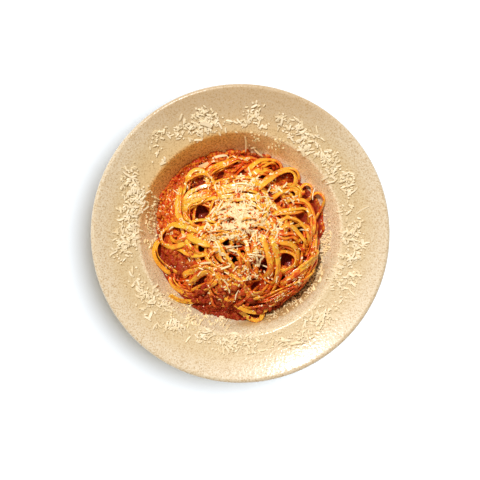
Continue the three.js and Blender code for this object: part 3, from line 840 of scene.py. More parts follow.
MIDDLE_NOODLES = rows(
    Noodle,
    (6.0, 6.0, 0.1, ((-56, -42), (-51.5, -38.5), (-48, -35.8), (-44.2, -34.4), (-40, -35), (-35, -38))),
    (4.0, 4.0, 0.05, ((-59, -13), (-53, -15.6), (-49.2, -18), (-45.5, -19.6), (-41.7, -20.2), (-36.7, -20),
        (-31, -18.6), (-25, -15))),
    (3.2, 3.2, 0.1, ((-49, -8), (-44.9, -11.1), (-41.7, -14.2), (-38, -17.2), (-34, -18.4), (-28, -17))),
    (6.0, 6.0, 0.0, ((-51, 0), (-44.2, -3.8), (-39.2, -6), (-34.9, -8.2), (-29, -9.6), (-21, -9))),
    (3.4, 3.4, 0.05, ((-49, -48), (-44.6, -51.6), (-39.2, -49.2), (-34.2, -46.7), (-29.2, -44.9),
        (-23, -43))),
    (3.7, 4.0, 0.1, ((-44, -47), (-40.8, -50.6), (-36, -52.3), (-31.7, -51.5), (-28, -49), (-24.2, -46),
        (-21.4, -42.6), (-20, -36))),
    (4.0, 6.0, 0.05, ((-52, -48), (-45.8, -46), (-42.3, -43), (-39.2, -39.9), (-35.5, -37.4), (-32, -35.6),
        (-28, -35), (-22, -37))),
    (3.4, 3.4, 0.1, ((-49, -38), (-40.5, -33), (-36, -31), (-31.7, -30.2), (-28, -31), (-24.2, -33.6),
        (-21.1, -38), (-18.6, -41.7), (-17, -46), (-17, -55))),
    (4.5, 4.5, 0.15, ((-20, -47), (-11, -48), (-3, -45), (4, -40), (10, -34))),
    (4.0, 4.0, 0.2, ((-14, -36), (-6, -38), (1, -43), (5, -50), (6, -57))),
    (3.7, 3.7, 0.1, ((-2, -12), (-0.7, -20), (0.3, -26), (-0.4, -34), (-4, -41))),
    (4.0, 4.0, 0.1, ((3, -2), (6, -10), (7.3, -19), (7, -26), (9, -34))),
    (3.7, 3.7, 0.05, ((-25, -3), (-19, -9.5), (-16, -14.6), (-13, -19.6), (-9.5, -24.8), (-6, -30),
        (-3, -38))),
    (4.5, 4.5, 0.1, ((-23, -12), (-18, -7.4), (-12.5, -4), (-5, -1))),
    (4.0, 4.0, 0.2, ((11, 0), (13.4, -8), (13.6, -15), (10, -21), (4, -24))),
    (4.8, 4.8, 0.1, ((-23, 39), (-14, 41.4), (-6, 43), (2, 44), (10, 44.4), (18, 44.4), (25, 41))),
    (4.5, 4.5, 0.25, ((-22, 35), (-12, 37.6), (-3, 39.4), (6, 39.6), (15, 37))),
    (4.2, 4.2, 0.1, ((-26, 30), (-15, 32.8), (-5, 34), (6, 34), (18, 32), (26, 28))),
    (3.7, 3.7, 0.35, ((28, -1), (34, -3), (40, -4.5), (46, -3), (51, -6), (55, -13))),
    (3.7, 3.7, 0.2, ((28, 10), (35, 11), (41.7, 14), (46.7, 13.6), (51.7, 12), (55.5, 8.8), (58.6, 4.4),
        (60.8, -0.6), (62, -6.6), (61.6, -14))),
    (5.3, 3.7, 0.05, ((33, 4), (38.5, 6.4), (42.6, 7), (46, 6), (49.6, 3.4), (53, -0.4), (56.2, -4),
        (58.8, -8.4), (60, -15))),
    (4.5, 3.7, 0.1, ((28, 34), (35.5, 40), (40.5, 42.8), (45.5, 44.6), (50, 44.7), (53.6, 43), (55.8, 40),
        (56.4, 36), (53, 30))),
    (5.3, 3.4, 0.1, ((27, 30), (34.9, 36), (38.6, 38), (43, 39.2), (47.4, 39.8), (50.4, 38.4),
        (51.8, 35.2), (49, 29))),
    (3.7, 3.7, 0.05, ((24, 15), (33, 19), (38, 20.4), (43, 21.1), (48, 21.7), (53, 22.4), (57.4, 22.8),
        (60.5, 21.2), (62.6, 17.4), (62.6, 9))),
    (3.4, 3.4, 0.05, ((-30, 42), (-21.7, 46.4), (-17.4, 48.2), (-13, 49.7), (-8, 50.8), (-3, 51.2),
        (3, 50.6), (10, 49.6), (18, 46), (25, 40))),
    (6.0, 3.2, 0.0, ((13, 38), (19, 43), (26, 48.5), (31, 52.4), (36, 55.6), (41, 57.4), (46, 57.4),
        (49.6, 55), (51.2, 50.6), (50, 45), (46, 40))),
    (6.0, 3.4, 0.1, ((24, -3), (30, -5.8), (35.5, -7.6), (40, -8.2), (44.4, -9.3), (48.2, -11.6),
        (50.8, -15.2), (51.8, -20), (51.6, -25), (50, -29.5), (45, -34))),
    (3.4, 3.4, 0.45, ((53, -27), (47, -32.5), (41, -36.4), (35, -39))),
    (3.2, 3.2, 0.05, ((29, -15), (35.5, -16.4), (40.5, -16.2), (45, -17.5), (48.6, -20), (50, -23.8),
        (48.8, -27.8), (45.5, -30.4), (41.1, -32.8), (37.4, -35.2), (32, -37))),
    (3.4, 3.4, 0.3, ((36, -28), (36.4, -36), (35, -42), (31.7, -47.4), (27, -51))),
    (3.7, 3.7, 0.4, ((23, 0), (26.4, -6), (28.4, -13.4), (29.4, -20), (29.6, -26), (29.4, -33), (28, -38),
        (23, -43))),
    (6.0, 5.5, 0.05, ((13, 0), (19.6, -5.2), (23, -12), (25, -18.4), (26.2, -24), (26.8, -29.2),
        (25.8, -33.8), (23.4, -37.6), (18, -41))),
    (5.8, 5.3, 0.05, ((25, 0), (29, -7), (31.6, -14), (33.3, -20.5), (34, -26.7), (33.9, -33),
        (32.9, -38.6), (30.8, -43.6), (27, -49))),
    (3.2, 3.2, 0.0, ((-53, 40), (-49, 46.6), (-45.2, 49.6), (-40.5, 52.2), (-35.5, 53.7), (-31.7, 53.6),
        (-28, 51.9), (-25.3, 48.8), (-23, 44.6), (-21.1, 40.2), (-19.6, 36), (-17, 31.6), (-13, 27))),
)


@dataclass(frozen=True)
class Tangle:
    """Noodles laid by a rule: where they start, how far they reach and how saucy they are."""

    name: str
    centre: Point
    inner_reach: float
    start_reach: float
    reach: float
    count: int
    strides: tuple[int, int]
    sauce: Span


RING = Tangle("noodles_ring", (0, 0), 50, 70, 73.5, 16, (14, 34), (0.7, 0.2))
BURIED = Tangle("noodles_buried", (4, -5), 0, 57, 69, 80, (18, 46), (0.5, 0.0))


@dataclass
class NoodleHeap:
    """Lays noodles on the height map: buried ones by a rule, then those that show."""

    form: HeapForm
    ground: HeightMap
    width: float = 3.6
    thickness: float = 1.4
    steepest: float = math.radians(42)
    twist: float = 0.16
    sink: float = 0.5
    dive: float = 6.5
    dive_length: float = 10.0
    step: float = 1.4
    sag_rounds: int = 40
    corners: int = 12
    squareness: float = 0.55
    swell: float = 0.18
    cup: float = 0.22
    stride: float = 3.0
    bends: Span = (0.008, 0.05)
    wander: float = 2.0
    choices: int = 6
    strands: tuple[int, int] = (1, 5)
    sauce_varies: float = 0.12
    apart: float = 3.1
    buried_shows: Span = (2.5, 3.6)
    company: Span = (0.65, 0.2)
    company_shows: Span = (2.3, 3.3)
    company_apart: Span = (2.1, 3.1)
    company_sauce: float = 0.35
    show_share: Span = (0.88, 1.0)
    show_range: Span = (3.6, 5.3)
    spread: float = 1.012
    seed: int = 7

    def edge_turn(self, shows: Array, width: float) -> Array:
        """How far a ribbon turns on its edge so that a given width of it shows from above.

        Args:
            shows: Visible width at each point.
            width: Width of the ribbon.

        Returns:
            The turn in radians.
        """
        diagonal = math.hypot(width, self.thickness)
        turn = np.arccos(np.clip(shows / diagonal, 0, 1)) + math.atan2(self.thickness, width)
        return np.where(shows > 0.97 * width, 0.0, np.minimum(turn, self.steepest))

    def roll(self, plan: Array, side: Array, shows: Array, width: float, rng: Rng) -> Array:
        """Sideways tilt along a noodle: its outer edge is lower, with a slow twist.

        Args:
            plan: Plan points, (n, 2).
            side: Unit vectors across it, (n, 2).
            shows: Visible width at each point.
            width: Width of the ribbon.
            rng: Source of the twist.

        Returns:
            The tilt in radians, positive where its left side is higher.
        """
        radius = np.hypot(*plan.T)
        tilt = self.form.edge_tilt * np.minimum(1, radius / self.form.heap_radius) ** 2
        outward = (plan * side).sum(axis=1) / np.maximum(radius, 1)
        turn = smooth_line(self.edge_turn(shows, width), 12)
        lean = -1.0 if outward.mean() > 0 else 1.0
        twist = rng.normal(0, self.twist)
        turns = np.linspace(0, 1, len(plan)) * rng.uniform(0.6, 1.8) + rng.random()
        return lean * turn - tilt * outward * np.cos(turn) + twist * np.sin(2 * math.pi * turns)

    def crossing_lift(self, plan: Array) -> Array:
        """Extra height where a noodle passes over itself.

        Args:
            plan: Plan points, (n, 2).

        Returns:
            The lift at each point.
        """
        gap = np.hypot(*(plan[:, None, :] - plan[None, :, :]).transpose(2, 0, 1))
        order = np.arange(len(plan)) * self.step
        later = (order[:, None] - order[None, :]) > 4 * self.width
        return np.where((later & (gap < self.width)).any(axis=1), self.width * 0.5, 0.0)

    def tuck(self, plan: Array, height: Array) -> Array:
        """How far a noodle dives at its ends, so that they hide in the heap.

        Args:
            plan: Its plan points, (n, 2).
            height: Its height at each point.

        Returns:
            The depth at each point.
        """
        order = np.arange(len(plan)) * self.step
        to_end = np.minimum(order, order[-1] - order)
        room = height - self.form.bowl.height(np.hypot(*plan.T)) - 2 * self.thickness
        return np.minimum(self.dive * (1 - smoothstep(to_end, 0, self.dive_length)), np.maximum(room, 0))

    def lay(self, parts: Gathered, plan: Array, shows: Array, sauce: float, rng: Rng) -> None:
        """Lay one noodle along its plan, on top of what is there.

        Args:
            parts: Where its mesh goes.
            plan: Plan points at even steps, (n, 2).
            shows: Width that shows from above, at each point.
            sauce: How much sauce it carries.
            rng: Source of its irregularities.
        """
        width = max(self.width, float(shows.max()))
        side = left_of(unit(np.gradient(plan, axis=0)))
        roll = self.roll(plan, side, shows, width, rng)
        offsets = np.linspace(-0.5, 0.5, 7)[:, None] * width
        x = plan[:, 0] + side[:, 0] * offsets * np.cos(roll)
        y = plan[:, 1] + side[:, 1] * offsets * np.cos(roll)
        supports = (self.ground.at(x, y) - offsets * np.sin(roll)).max(axis=0)
        supports = supports - self.sink + self.crossing_lift(plan)
        height = supports.copy()
        for _ in range(self.sag_rounds):
            height = np.maximum(supports, smooth_line(height, 1))
        height = smooth_line(height, 2) + self.thickness / 2 * np.cos(roll)
        height = height - self.tuck(plan, height)
        centres = np.column_stack([plan, height])
        tangent = unit(np.gradient(centres, axis=0))
        ups = unit(np.cross(tangent, np.column_stack([side * np.cos(roll)[:, None], np.sin(roll)])))
        sides = np.cross(ups, tangent)
        section = self.sections(len(plan), width, rng)
        points, faces = sweep(centres, sides, ups, section)
        across = np.tile(section[0, :, 0] / (width / 2), len(plan))
        patches = smooth_line(rng.normal(0, 1.0, len(plan)), 8) * 0.5
        coat = np.repeat(sauce + patches, self.corners)
        along = np.repeat(np.arange(len(plan)) * self.step, self.corners)
        parts.add(points, faces, sauce=coat, across=across, along=along, tone=rng.random())
        for offset in np.linspace(-0.5, 0.5, 9) * width:
            top = centres + sides * offset + ups * (self.thickness / 2 - 0.1)
            self.ground.raise_to(top)
            self.ground.raise_to((top[1:] + top[:-1]) / 2)

    def sections(self, count: int, width: float, rng: Rng) -> Array:
        """Rounded flat sections along a noodle, a little uneven and slightly cupped.

        Args:
            count: Number of sections.
            width: Width of the noodle.
            rng: Source of the unevenness.

        Returns:
            Section points (across, out), (count, corners, 2).
        """
        angle = (np.arange(self.corners) + 0.5) * 2 * math.pi / self.corners
        cosine, sine = np.cos(angle), np.sin(angle)
        across = np.sign(cosine) * np.abs(cosine) ** self.squareness * width / 2
        out = np.sign(sine) * np.abs(sine) ** self.squareness * self.thickness / 2
        swell = 1 + smooth_line(rng.normal(0, 0.5, count), 10) * self.swell
        wide = across[None, :] * swell[:, None]
        bowed = out[None, :] + rng.normal(0, self.cup) * (np.square(across / (width / 2))[None, :] - 0.4)
        return np.stack([wide, np.broadcast_to(bowed, wide.shape)], axis=-1)

    def wandering_plan(self, tangle: Tangle, rng: Rng) -> Array:
        """Plan of one noodle of a tangle: loops that keep to their reach and off the hollows.

        Args:
            tangle: The tangle.
            rng: Source of its start, length and bends.

        Returns:
            Plan points at even steps, (n, 2).
        """
        centre = np.array(tangle.centre)
        while True:
            angle = rng.uniform(0, 2 * math.pi)
            away = math.sqrt(rng.uniform(tangle.inner_reach**2, tangle.start_reach**2))
            place = centre + away * toward(angle)
            heading = angle + rng.choice([-1, 1]) * math.pi / 2 + rng.normal(0, 0.7)
            bend = rng.choice([-1, 1]) * rng.uniform(*self.bends)
            points = [place]
            for _ in range(rng.integers(*tangle.strides)):
                inward = centre - place
                if np.linalg.norm(inward) > tangle.start_reach:
                    heading += 0.5 * math.sin(math.atan2(inward[1], inward[0]) - heading)
                heading += self.stride * (bend + rng.normal(0, self.bends[0]))
                place = place + self.stride * toward(heading)
                points.append(place)
            plan = spline(points, self.step)
            if self.fits(plan, tangle):
                return plan

    def fits(self, plan: Array, tangle: Tangle) -> bool:
        """Whether a plan keeps off the hollows and within a tangle's reach.

        Args:
            plan: Plan points, (n, 2).
            tangle: The tangle.

        Returns:
            True where it fits.
        """
        away = np.hypot(*(plan - tangle.centre).T)
        in_hollow = self.form.in_hollow(*plan.T).any()
        return not in_hollow and away.max() < tangle.reach and away.min() > 0.7 * tangle.inner_reach

    def beside(self, plan: Array, offset: float, rng: Rng) -> Array:
        """A plan that runs along another one, a little shorter.

        Args:
            plan: The other plan, (n, 2).
            offset: Distance to its left.
            rng: Source of how much shorter it is.

        Returns:
            Plan points, at about even steps.
        """
        wander = smooth_line(rng.normal(0, 1.0, len(plan)), 12) * self.wander
        shifted = plan + left_of(unit(np.gradient(plan, axis=0))) * (offset + wander)[:, None]
        first, last = rng.integers(0, max(1, len(plan) // 5), 2)
        trimmed = shifted[first : len(plan) - last]
        return spline(trimmed[:: max(1, round(self.stride / self.step))], self.step)

    def gap_below(self, plan: Array) -> float:
        """How far the heap still is below its full form along a plan, on average."""
        return float(np.mean(self.form.full_height(*plan.T) - self.ground.at(*plan.T)))

    def build_tangle(self, tangle: Tangle) -> Gathered:
        """Noodles that lie by a rule.

        Args:
            tangle: Where they lie.

        Returns:
            The noodles.
        """
        rng = np.random.default_rng(self.seed + tangle.count)
        parts = Gathered()
        for sauce in np.linspace(*tangle.sauce, tangle.count):
            plans = [self.wandering_plan(tangle, rng) for _ in range(self.choices)]
            gaps = [self.gap_below(plan) for plan in plans]
            if max(gaps) < self.thickness:
                break
            plan = plans[int(np.argmax(gaps))]
            side = rng.choice([-1, 1]) * self.apart
            for strand in range(rng.integers(*self.strands)):
                lane = self.beside(plan, side * strand, rng) if strand else plan
                if len(lane) > self.corners and self.fits(lane, tangle):
                    shows = np.linspace(*rng.uniform(*self.buried_shows, 2), len(lane))
                    self.lay(parts, lane, shows, sauce + rng.normal(0, self.sauce_varies), rng)
        return parts

    def lay_companions(self, parts: Gathered, plan: Array, sauce: float, rng: Rng) -> None:
        """Lay saucier noodles beside a noodle that shows, where they close no hollow.

        Args:
            parts: Where its mesh goes.
            plan: Plan of the noodle that shows, (n, 2).
            sauce: How much sauce that one carries.
            rng: Source of their sides and lengths.
        """
        side = rng.choice([-1, 1])
        for likely in self.company:
            side = -side
            lane = self.beside(plan, side * rng.uniform(*self.company_apart), rng)
            outside = np.hypot(*lane.T).max() > self.form.heap_radius
            closes = self.form.in_hollow(*lane.T).any()
            if rng.random() < likely and not outside and not closes:
                shows = np.linspace(*rng.uniform(*self.company_shows, 2), len(lane))
                self.lay(parts, lane, shows, sauce + rng.uniform(0.0, self.company_sauce), rng)

    def build_shown(self, name: str, noodles: Sequence[Noodle]) -> Gathered:
        """Noodles that show.

        Args:
            name: Name of the piece.
            noodles: The noodles, lowest first.

        Returns:
            The noodles.
        """
        rng = np.random.default_rng(self.seed + len(name))
        parts = Gathered()
        for noodle in noodles:
            plan = spline(noodle.route, self.step) * self.spread
            shows = np.linspace(noodle.start, noodle.end, len(plan))
            shows = shows * np.interp(shows, self.show_range, self.show_share)
            self.lay_companions(parts, plan, noodle.sauce, rng)
            self.lay(parts, plan, shows, noodle.sauce, rng)
        return parts


# ------------------------------------------------------------------ minced meat and cheese


@dataclass(frozen=True)
class Patch:
    """An oval patch over which pieces are scattered."""

    x: float
    y: float
    spread_x: float
    spread_y: float
    count: int


@dataclass(frozen=True)
class RimBand:
    """A stretch of the rim over which pieces are scattered, angles in degrees."""

    start: float
    end: float
    inner: float
    outer: float
    count: int


@dataclass
class Mince:
    """Grains of minced meat, coated in sauce."""

    ground: HeightMap
    form: HeapForm
    smallest: float = 0.9
    largest: float = 3.4
    flatness: float = 0.55
    lumps: float = 0.13
    crumbs: float = 0.07
    cluster: tuple[int, int] = (2, 6)
    tone_varies: float = 0.15
    beyond: float = 0.5
    seed: int = 17

    @staticmethod
    def grain_shape() -> tuple[Array, Faces]:
        """A plain round grain of radius 1.

        Returns:
            Vertices and faces.
        """
        shape = bmesh.new()
        bmesh.ops.create_icosphere(shape, subdivisions=2, radius=1.0)
        points = np.array([vertex.co[:] for vertex in shape.verts])
        faces = [[vertex.index for vertex in face.verts] for face in shape.faces]
        shape.free()
        return points, faces

    def uneven(self, points: Array, size: float, rng: Rng) -> Array:
        """Stretch, dent and turn a plain grain.

        Args:
            points: Its vertices, one a row.
            size: Its mean radius.
            rng: Source of its shape.

        Returns:
            The vertices of the uneven grain, about its middle.
        """
        stretch = size * rng.uniform(0.6, 1.6, 3) * (1, 1, self.flatness)
        waves = np.sin(points @ rng.normal(0, 1.8, (3, 3)) + rng.uniform(0, 2 * math.pi, 3))
        crumbs = np.sin(points @ rng.normal(0, 5.0, (3, 4)) + rng.uniform(0, 2 * math.pi, 4))
        bumps = 1 + (self.lumps * waves.sum(axis=1) + self.crumbs * crumbs.sum(axis=1))[:, None]
        return (points * bumps * stretch) @ np.array(Matrix.Rotation(rng.uniform(0, 2 * math.pi), 3, "Z")).T

    def build(self, name: str, patches: Sequence[Patch]) -> Gathered:
        """Crumbs of several grains, scattered over patches and pressed into what is there.

        Args:
            name: Name of the piece.
            patches: Where the grains lie.

        Returns:
            The grains.
        """
        rng = np.random.default_rng(self.seed + len(name))
        parts = Gathered()
        points, faces = self.grain_shape()
        for patch in patches:
            for _ in range(patch.count):
                middle = rng.normal(patch.x, patch.spread_x), rng.normal(patch.y, patch.spread_y)
                largest = self.smallest + (self.largest - self.smallest) * rng.random() ** 2.2
                tone = rng.random()
                for _ in range(rng.integers(*self.cluster)):
                    x, y = rng.normal(middle, 0.9 * largest)
                    if self.form.inside(x, y) > -self.beyond:
                        size = largest * rng.uniform(0.35, 1.0)
                        own_tone = tone + rng.normal(0, self.tone_varies)
                        grain = self.uneven(points, size, rng)
                        height = float(self.ground.at(x, y)) + size * rng.uniform(-0.3, 0.2)
                        parts.add(grain + (x, y, height), faces, tone=own_tone)
                        self.ground.raise_to(np.array([[x, y, height + size * 0.5]]))
        return parts


@dataclass(frozen=True)
class Shred:
    """One large shred: its middle, its direction in degrees, its length and its width."""

    x: float
    y: float
    heading: float
    length: float
    width: float


@dataclass
class Shreds:
    """Shreds of grated hard cheese, laid criss-cross on a map of heights."""

    ground: HeightMap
    width: float = 1.4
    thickness: float = 0.8
    shortest: float = 2.5
    longest: float = 9.0
    rests: float = 0.75
    steepest: float = 0.7
    large_steepest: float = 1.3
    bend: float = 0.07
    arching: float = 0.03
    tilt: float = 0.4
    taper: float = 0.35
    flatness: float = 0.65
    clump: int = 9
    clump_angle: float = 0.035
    clump_width: float = 3.4
    seed: int = 23

    def lay(self, parts: Gathered, middle: Point, heading: float, length: float, rng: Rng) -> None:
        """Lay one shred on what is there.

        Args:
            parts: Where its mesh goes.
            middle: Its middle in the plan.
            heading: Its direction in the plan.
            length: Its length.
            rng: Source of its bend and tilt.
        """
        count = 5 if length > 4 else 3
        along = np.linspace(-0.5, 0.5, count)
        arc = (0.25 - along**2) * 4
        forward = toward(heading)
        left = np.array([-forward[1], forward[0]])
        bow = rng.normal(0, self.bend) * length * arc
        plan = np.array(middle) + np.outer(along * length, forward) + np.outer(bow, left)
        under = self.ground.at(plan[:, 0], plan[:, 1])
        slope = np.clip(np.polyfit(along * length, under, 1)[0], -self.steepest, self.steepest)
        climb = slope * along * length
        rest = np.quantile(under - climb, self.rests)
        height = rest + climb + rng.normal(0, self.arching) * length * arc + self.thickness * 0.4
        centres = np.column_stack([plan, height])
        tangent = unit(np.gradient(centres, axis=0))
        roll = rng.normal(0, self.tilt)
        sides = np.tile([*(left * math.cos(roll)), math.sin(roll)], (count, 1))
        ups = unit(np.cross(tangent, sides))
        half_width = self.width * rng.uniform(0.65, 1.25) / 2
        half_height = self.thickness * rng.uniform(0.7, 1.3) / 2
        taper = 1 - self.taper * (2 * np.abs(along)) ** 3
        corners = np.array([[1, -1], [1, 1], [-1, 1], [-1, -1]]) * (half_width, half_height)
        section = corners[None, :, :] * taper[:, None, None]
        points, faces = sweep(centres, np.cross(ups, tangent), ups, section)
        parts.add(points, faces, tone=rng.random())
        self.ground.raise_to(centres + np.array([0.0, 0.0, half_height * 0.8]))

    def lay_any(self, parts: Gathered, middle: Point, rng: Rng) -> None:
        """Lay a shred of any direction and length: many short pieces, a few long ones.

        Args:
            parts: Where its mesh goes.
            middle: Its middle in the plan.
            rng: Random source.
        """
        heading = rng.uniform(0, math.pi)
        length = self.shortest + (self.longest - self.shortest) * rng.random() ** 3.0
        self.lay(parts, middle, heading, length, rng)

    def on_heap(self, parts: Gathered, patches: Sequence[Patch], form: HeapForm, rng: Rng) -> None:
        """Scatter shreds over patches of the heap.

        Args:
            parts: Where their meshes go.
            patches: Where they lie.
            form: The heap's form, with the places that hold a shred.
            rng: Random source.
        """
        for patch in patches:
            for _ in range(patch.count):
                middle = rng.normal(patch.x, patch.spread_x), rng.normal(patch.y, patch.spread_y)
                if form.holds(self.ground, *middle):
                    self.lay_any(parts, middle, rng)

    def named(self, parts: Gathered, shreds: Sequence[Shred], rng: Rng) -> None:
        """Lay large shreds at their places.

        Args:
            parts: Where their meshes go.
            shreds: The shreds.
            rng: Random source.
        """
        for shred in shreds:
            sizes = {"width": shred.width, "thickness": self.flatness * shred.width}
            large = replace(self, **sizes, rests=1.0, steepest=self.large_steepest)
            large.lay(parts, (shred.x, shred.y), math.radians(shred.heading), shred.length, rng)

    def on_rim(self, parts: Gathered, bands: Sequence[RimBand], rng: Rng) -> None:
        """Scatter shreds in clumps over stretches of the rim.

        Args:
            parts: Where their meshes go.
            bands: Where they lie.
            rng: Random source.
        """
        for band in bands:
            clumps = max(2, band.count // self.clump)
            for _ in range(clumps):
                angle = math.radians(rng.uniform(band.start, band.end))
                radius = rng.uniform(band.inner, band.outer)
                for _ in range(round(band.count / clumps)):
                    heading = toward(angle + rng.normal(0, self.clump_angle))
                    away = radius + rng.normal(0, self.clump_width)
                    self.lay_any(parts, np.clip(away, band.inner - 3, band.outer + 4) * heading, rng)


# ------------------------------------------------------------------ materials


class Graph:
    """Adds and links the nodes of one material or node group."""

    def __init__(self, tree: bpy.types.NodeTree) -> None:
        """Take the node tree to fill."""
        self.tree = tree

    def add(self, kind: str, inputs: dict | None = None, **settings: object) -> bpy.types.Node:
        """Add a node.

        Args:
            kind: Blender's type name of the node.
            inputs: Output sockets or constants for its inputs, by name or number.
            settings: Its settings.

        Returns:
            The node.
        """
        node = self.tree.nodes.new(kind)
        for name, value in settings.items():
            setattr(node, name, value)
        self.fill(node, inputs or {})
        return node

    def fill(self, node: bpy.types.Node, inputs: dict[str | int, object]) -> None:
        """Link output sockets to a node's inputs, or set the inputs to constants.

        Args:
            node: The node.
            inputs: Output sockets or constants, by name or number of the input.
        """
        for name, source in inputs.items():
            target = node.inputs[name]
            if isinstance(source, Socket):
                self.tree.links.new(source, target)
            elif isinstance(source, tuple) and len(source) == 3 and target.type == "RGBA":
                target.default_value = (*source, 1.0)
            else:
                target.default_value = source

    def scaled(self, place: Socket, scale: Color) -> Socket:
        """Coordinates times a scale."""
        return self.add("ShaderNodeMapping", {"Vector": place, "Scale": scale}).outputs["Vector"]

    def millimetres(self) -> Socket:
        """Object coordinates in millimetres."""
        coordinates = self.add("ShaderNodeTexCoord").outputs["Object"]
        return self.scaled(coordinates, (1 / MM, 1 / MM, 1 / MM))

    def plan_point(self) -> Socket:
        """Object coordinates in millimetres, flattened to the plan."""
        return self.scaled(self.millimetres(), (1.0, 1.0, 0.0))

    def noise(self, place: Socket, size: float, detail: float = 2.0, distortion: float = 0.0) -> Socket:
        """Smooth noise, mostly from 0.3 to 0.7, with features of a size in the unit of the place."""
        inputs = {"Vector": place, "Scale": 1 / size, "Detail": detail, "Distortion": distortion}
        return self.add("ShaderNodeTexNoise", inputs).outputs["Fac"]

    def ramp(self, value: Socket, low: float, high: float) -> Socket:
        """Stretch a value so that low becomes 0 and high becomes 1, smoothly."""
        inputs = {"Value": value, "From Min": low, "From Max": high}
        return self.add("ShaderNodeMapRange", inputs, interpolation_type="SMOOTHSTEP").outputs["Result"]

    def mix(self, share: Socket, first: object, second: object) -> Socket:
        """Mix two colours, by the share of the second."""
        return self.add("ShaderNodeMix", {"Factor": share, 6: first, 7: second}, data_type="RGBA").outputs[2]

    def combine(self, operation: str, *values: object) -> Socket:
        """Combine values by one of Blender's operations."""
        return self.add("ShaderNodeMath", dict(enumerate(values)), operation=operation).outputs[0]

    def times(self, first: object, second: object) -> Socket:
        """Multiply two values."""
        return self.combine("MULTIPLY", first, second)

    def plus(self, first: object, second: object) -> Socket:
        """Add two values."""
        return self.combine("ADD", first, second)

    def most(self, first: object, second: object) -> Socket:
        """The larger of two values."""
        return self.combine("MAXIMUM", first, second)

    def tint(self, base: object, color: Color, share: Socket, strength: float) -> Socket:
        """Mix a colour into a base, by a share that is weakened to a strength."""
        return self.mix(self.times(share, strength), base, color)

    def mark(self, name: str) -> Socket:
        """The value kept for each vertex under a name."""
        return self.add("ShaderNodeAttribute", attribute_name=name).outputs["Fac"]

    def bump(self, height: Socket, distance: float, strength: float) -> Socket:
        """Turn a height from 0 to 1 into a normal, where 1 is a distance in metres."""
        inputs = {"Height": height, "Distance": distance, "Strength": strength}
        return self.add("ShaderNodeBump", inputs).outputs["Normal"]

    def gloss(self, shader: bpy.types.Node, roughness: object, coat: float, coat_roughness: float) -> None:
        """Set how a shader shines: its roughness, its clear coat and the roughness of that."""
        inputs = {"Roughness": roughness, "Coat Weight": coat, "Coat Roughness": coat_roughness}
        self.fill(shader, inputs)

    def by_radius(self, low: float, high: float) -> Socket:
        """A share from 0 to 1, by the distance from the bowl's axis."""
        radius = self.add("ShaderNodeVectorMath", {0: self.plan_point()}, operation="LENGTH")
        return self.ramp(radius.outputs["Value"], low, high)


def grain_group() -> bpy.types.NodeTree:
    """The shared effect of a lumpy food surface: a fine relief and a patchy mask.

    Returns:
        The node group, with inputs Vector, Grain and Patch, and outputs Height and Mask.
    """
    tree = bpy.data.node_groups.new("food_grain", "ShaderNodeTree")
    tree.interface.new_socket("Vector", in_out="INPUT", socket_type="NodeSocketVector")
    for name, side in (("Grain", "INPUT"), ("Patch", "INPUT"), ("Height", "OUTPUT"), ("Mask", "OUTPUT")):
        tree.interface.new_socket(name, in_out=side, socket_type="NodeSocketFloat")
    graph = Graph(tree)
    given = graph.add("NodeGroupInput").outputs
    fine, patch = (
        graph.add("ShaderNodeTexNoise", {"Vector": given["Vector"], "Scale": given[name], "Detail": detail})
        for name, detail in (("Grain", 3.0), ("Patch", 2.0))
    )
    mask = graph.ramp(patch.outputs["Fac"], 0.35, 0.65)
    graph.add("NodeGroupOutput", {"Height": fine.outputs["Fac"], "Mask": mask})
    return tree


def new_material(name: str) -> tuple[Material, Graph, bpy.types.Node]:
    """A new node material.

    Args:
        name: Name of the material.

    Returns:
        The material, its graph and its Principled shader.
    """
    material = bpy.data.materials.new(name)
    material.use_nodes = True
    return material, Graph(material.node_tree), material.node_tree.nodes["Principled BSDF"]


@dataclass(frozen=True)
class Grain:
    """Scales of the shared food grain in one material, in millimetres."""

    grain: float
    patch: float

    def place(self, graph: Graph, group: bpy.types.NodeTree) -> bpy.types.Node:
        """Put the shared group in a material."""
        inputs = {"Vector": graph.millimetres(), "Grain": 1 / self.grain, "Patch": 1 / self.patch}
        return graph.add("ShaderNodeGroup", inputs, node_tree=group)


@dataclass(frozen=True)
class Spots:
    """Spots of noise: their size, their finer octaves, and the values where they start and are full."""

    size: float
    detail: float
    low: float
    high: float

    def share(self, graph: Graph, place: Socket, distortion: float = 0.0) -> Socket:
        """The spots at a place, from 0 to 1."""
        return graph.ramp(graph.noise(place, self.size, self.detail, distortion), self.low, self.high)


@dataclass(frozen=True)
class Side:
    """One side of the bowl: its azimuth in degrees, how far out it starts and where it is full."""

    azimuth: float
    low: float
    high: float

    def share(self, graph: Graph) -> Socket:
        """How far points lie toward that side.

        Args:
            graph: The material's graph.

        Returns:
            The share, from 0 to 1.
        """
        inputs = {0: graph.plan_point(), 1: (*toward(math.radians(self.azimuth)).tolist(), 0.0)}
        reach = graph.add("ShaderNodeVectorMath", inputs, operation="DOT_PRODUCT")
        return graph.ramp(reach.outputs["Value"], self.low, self.high)


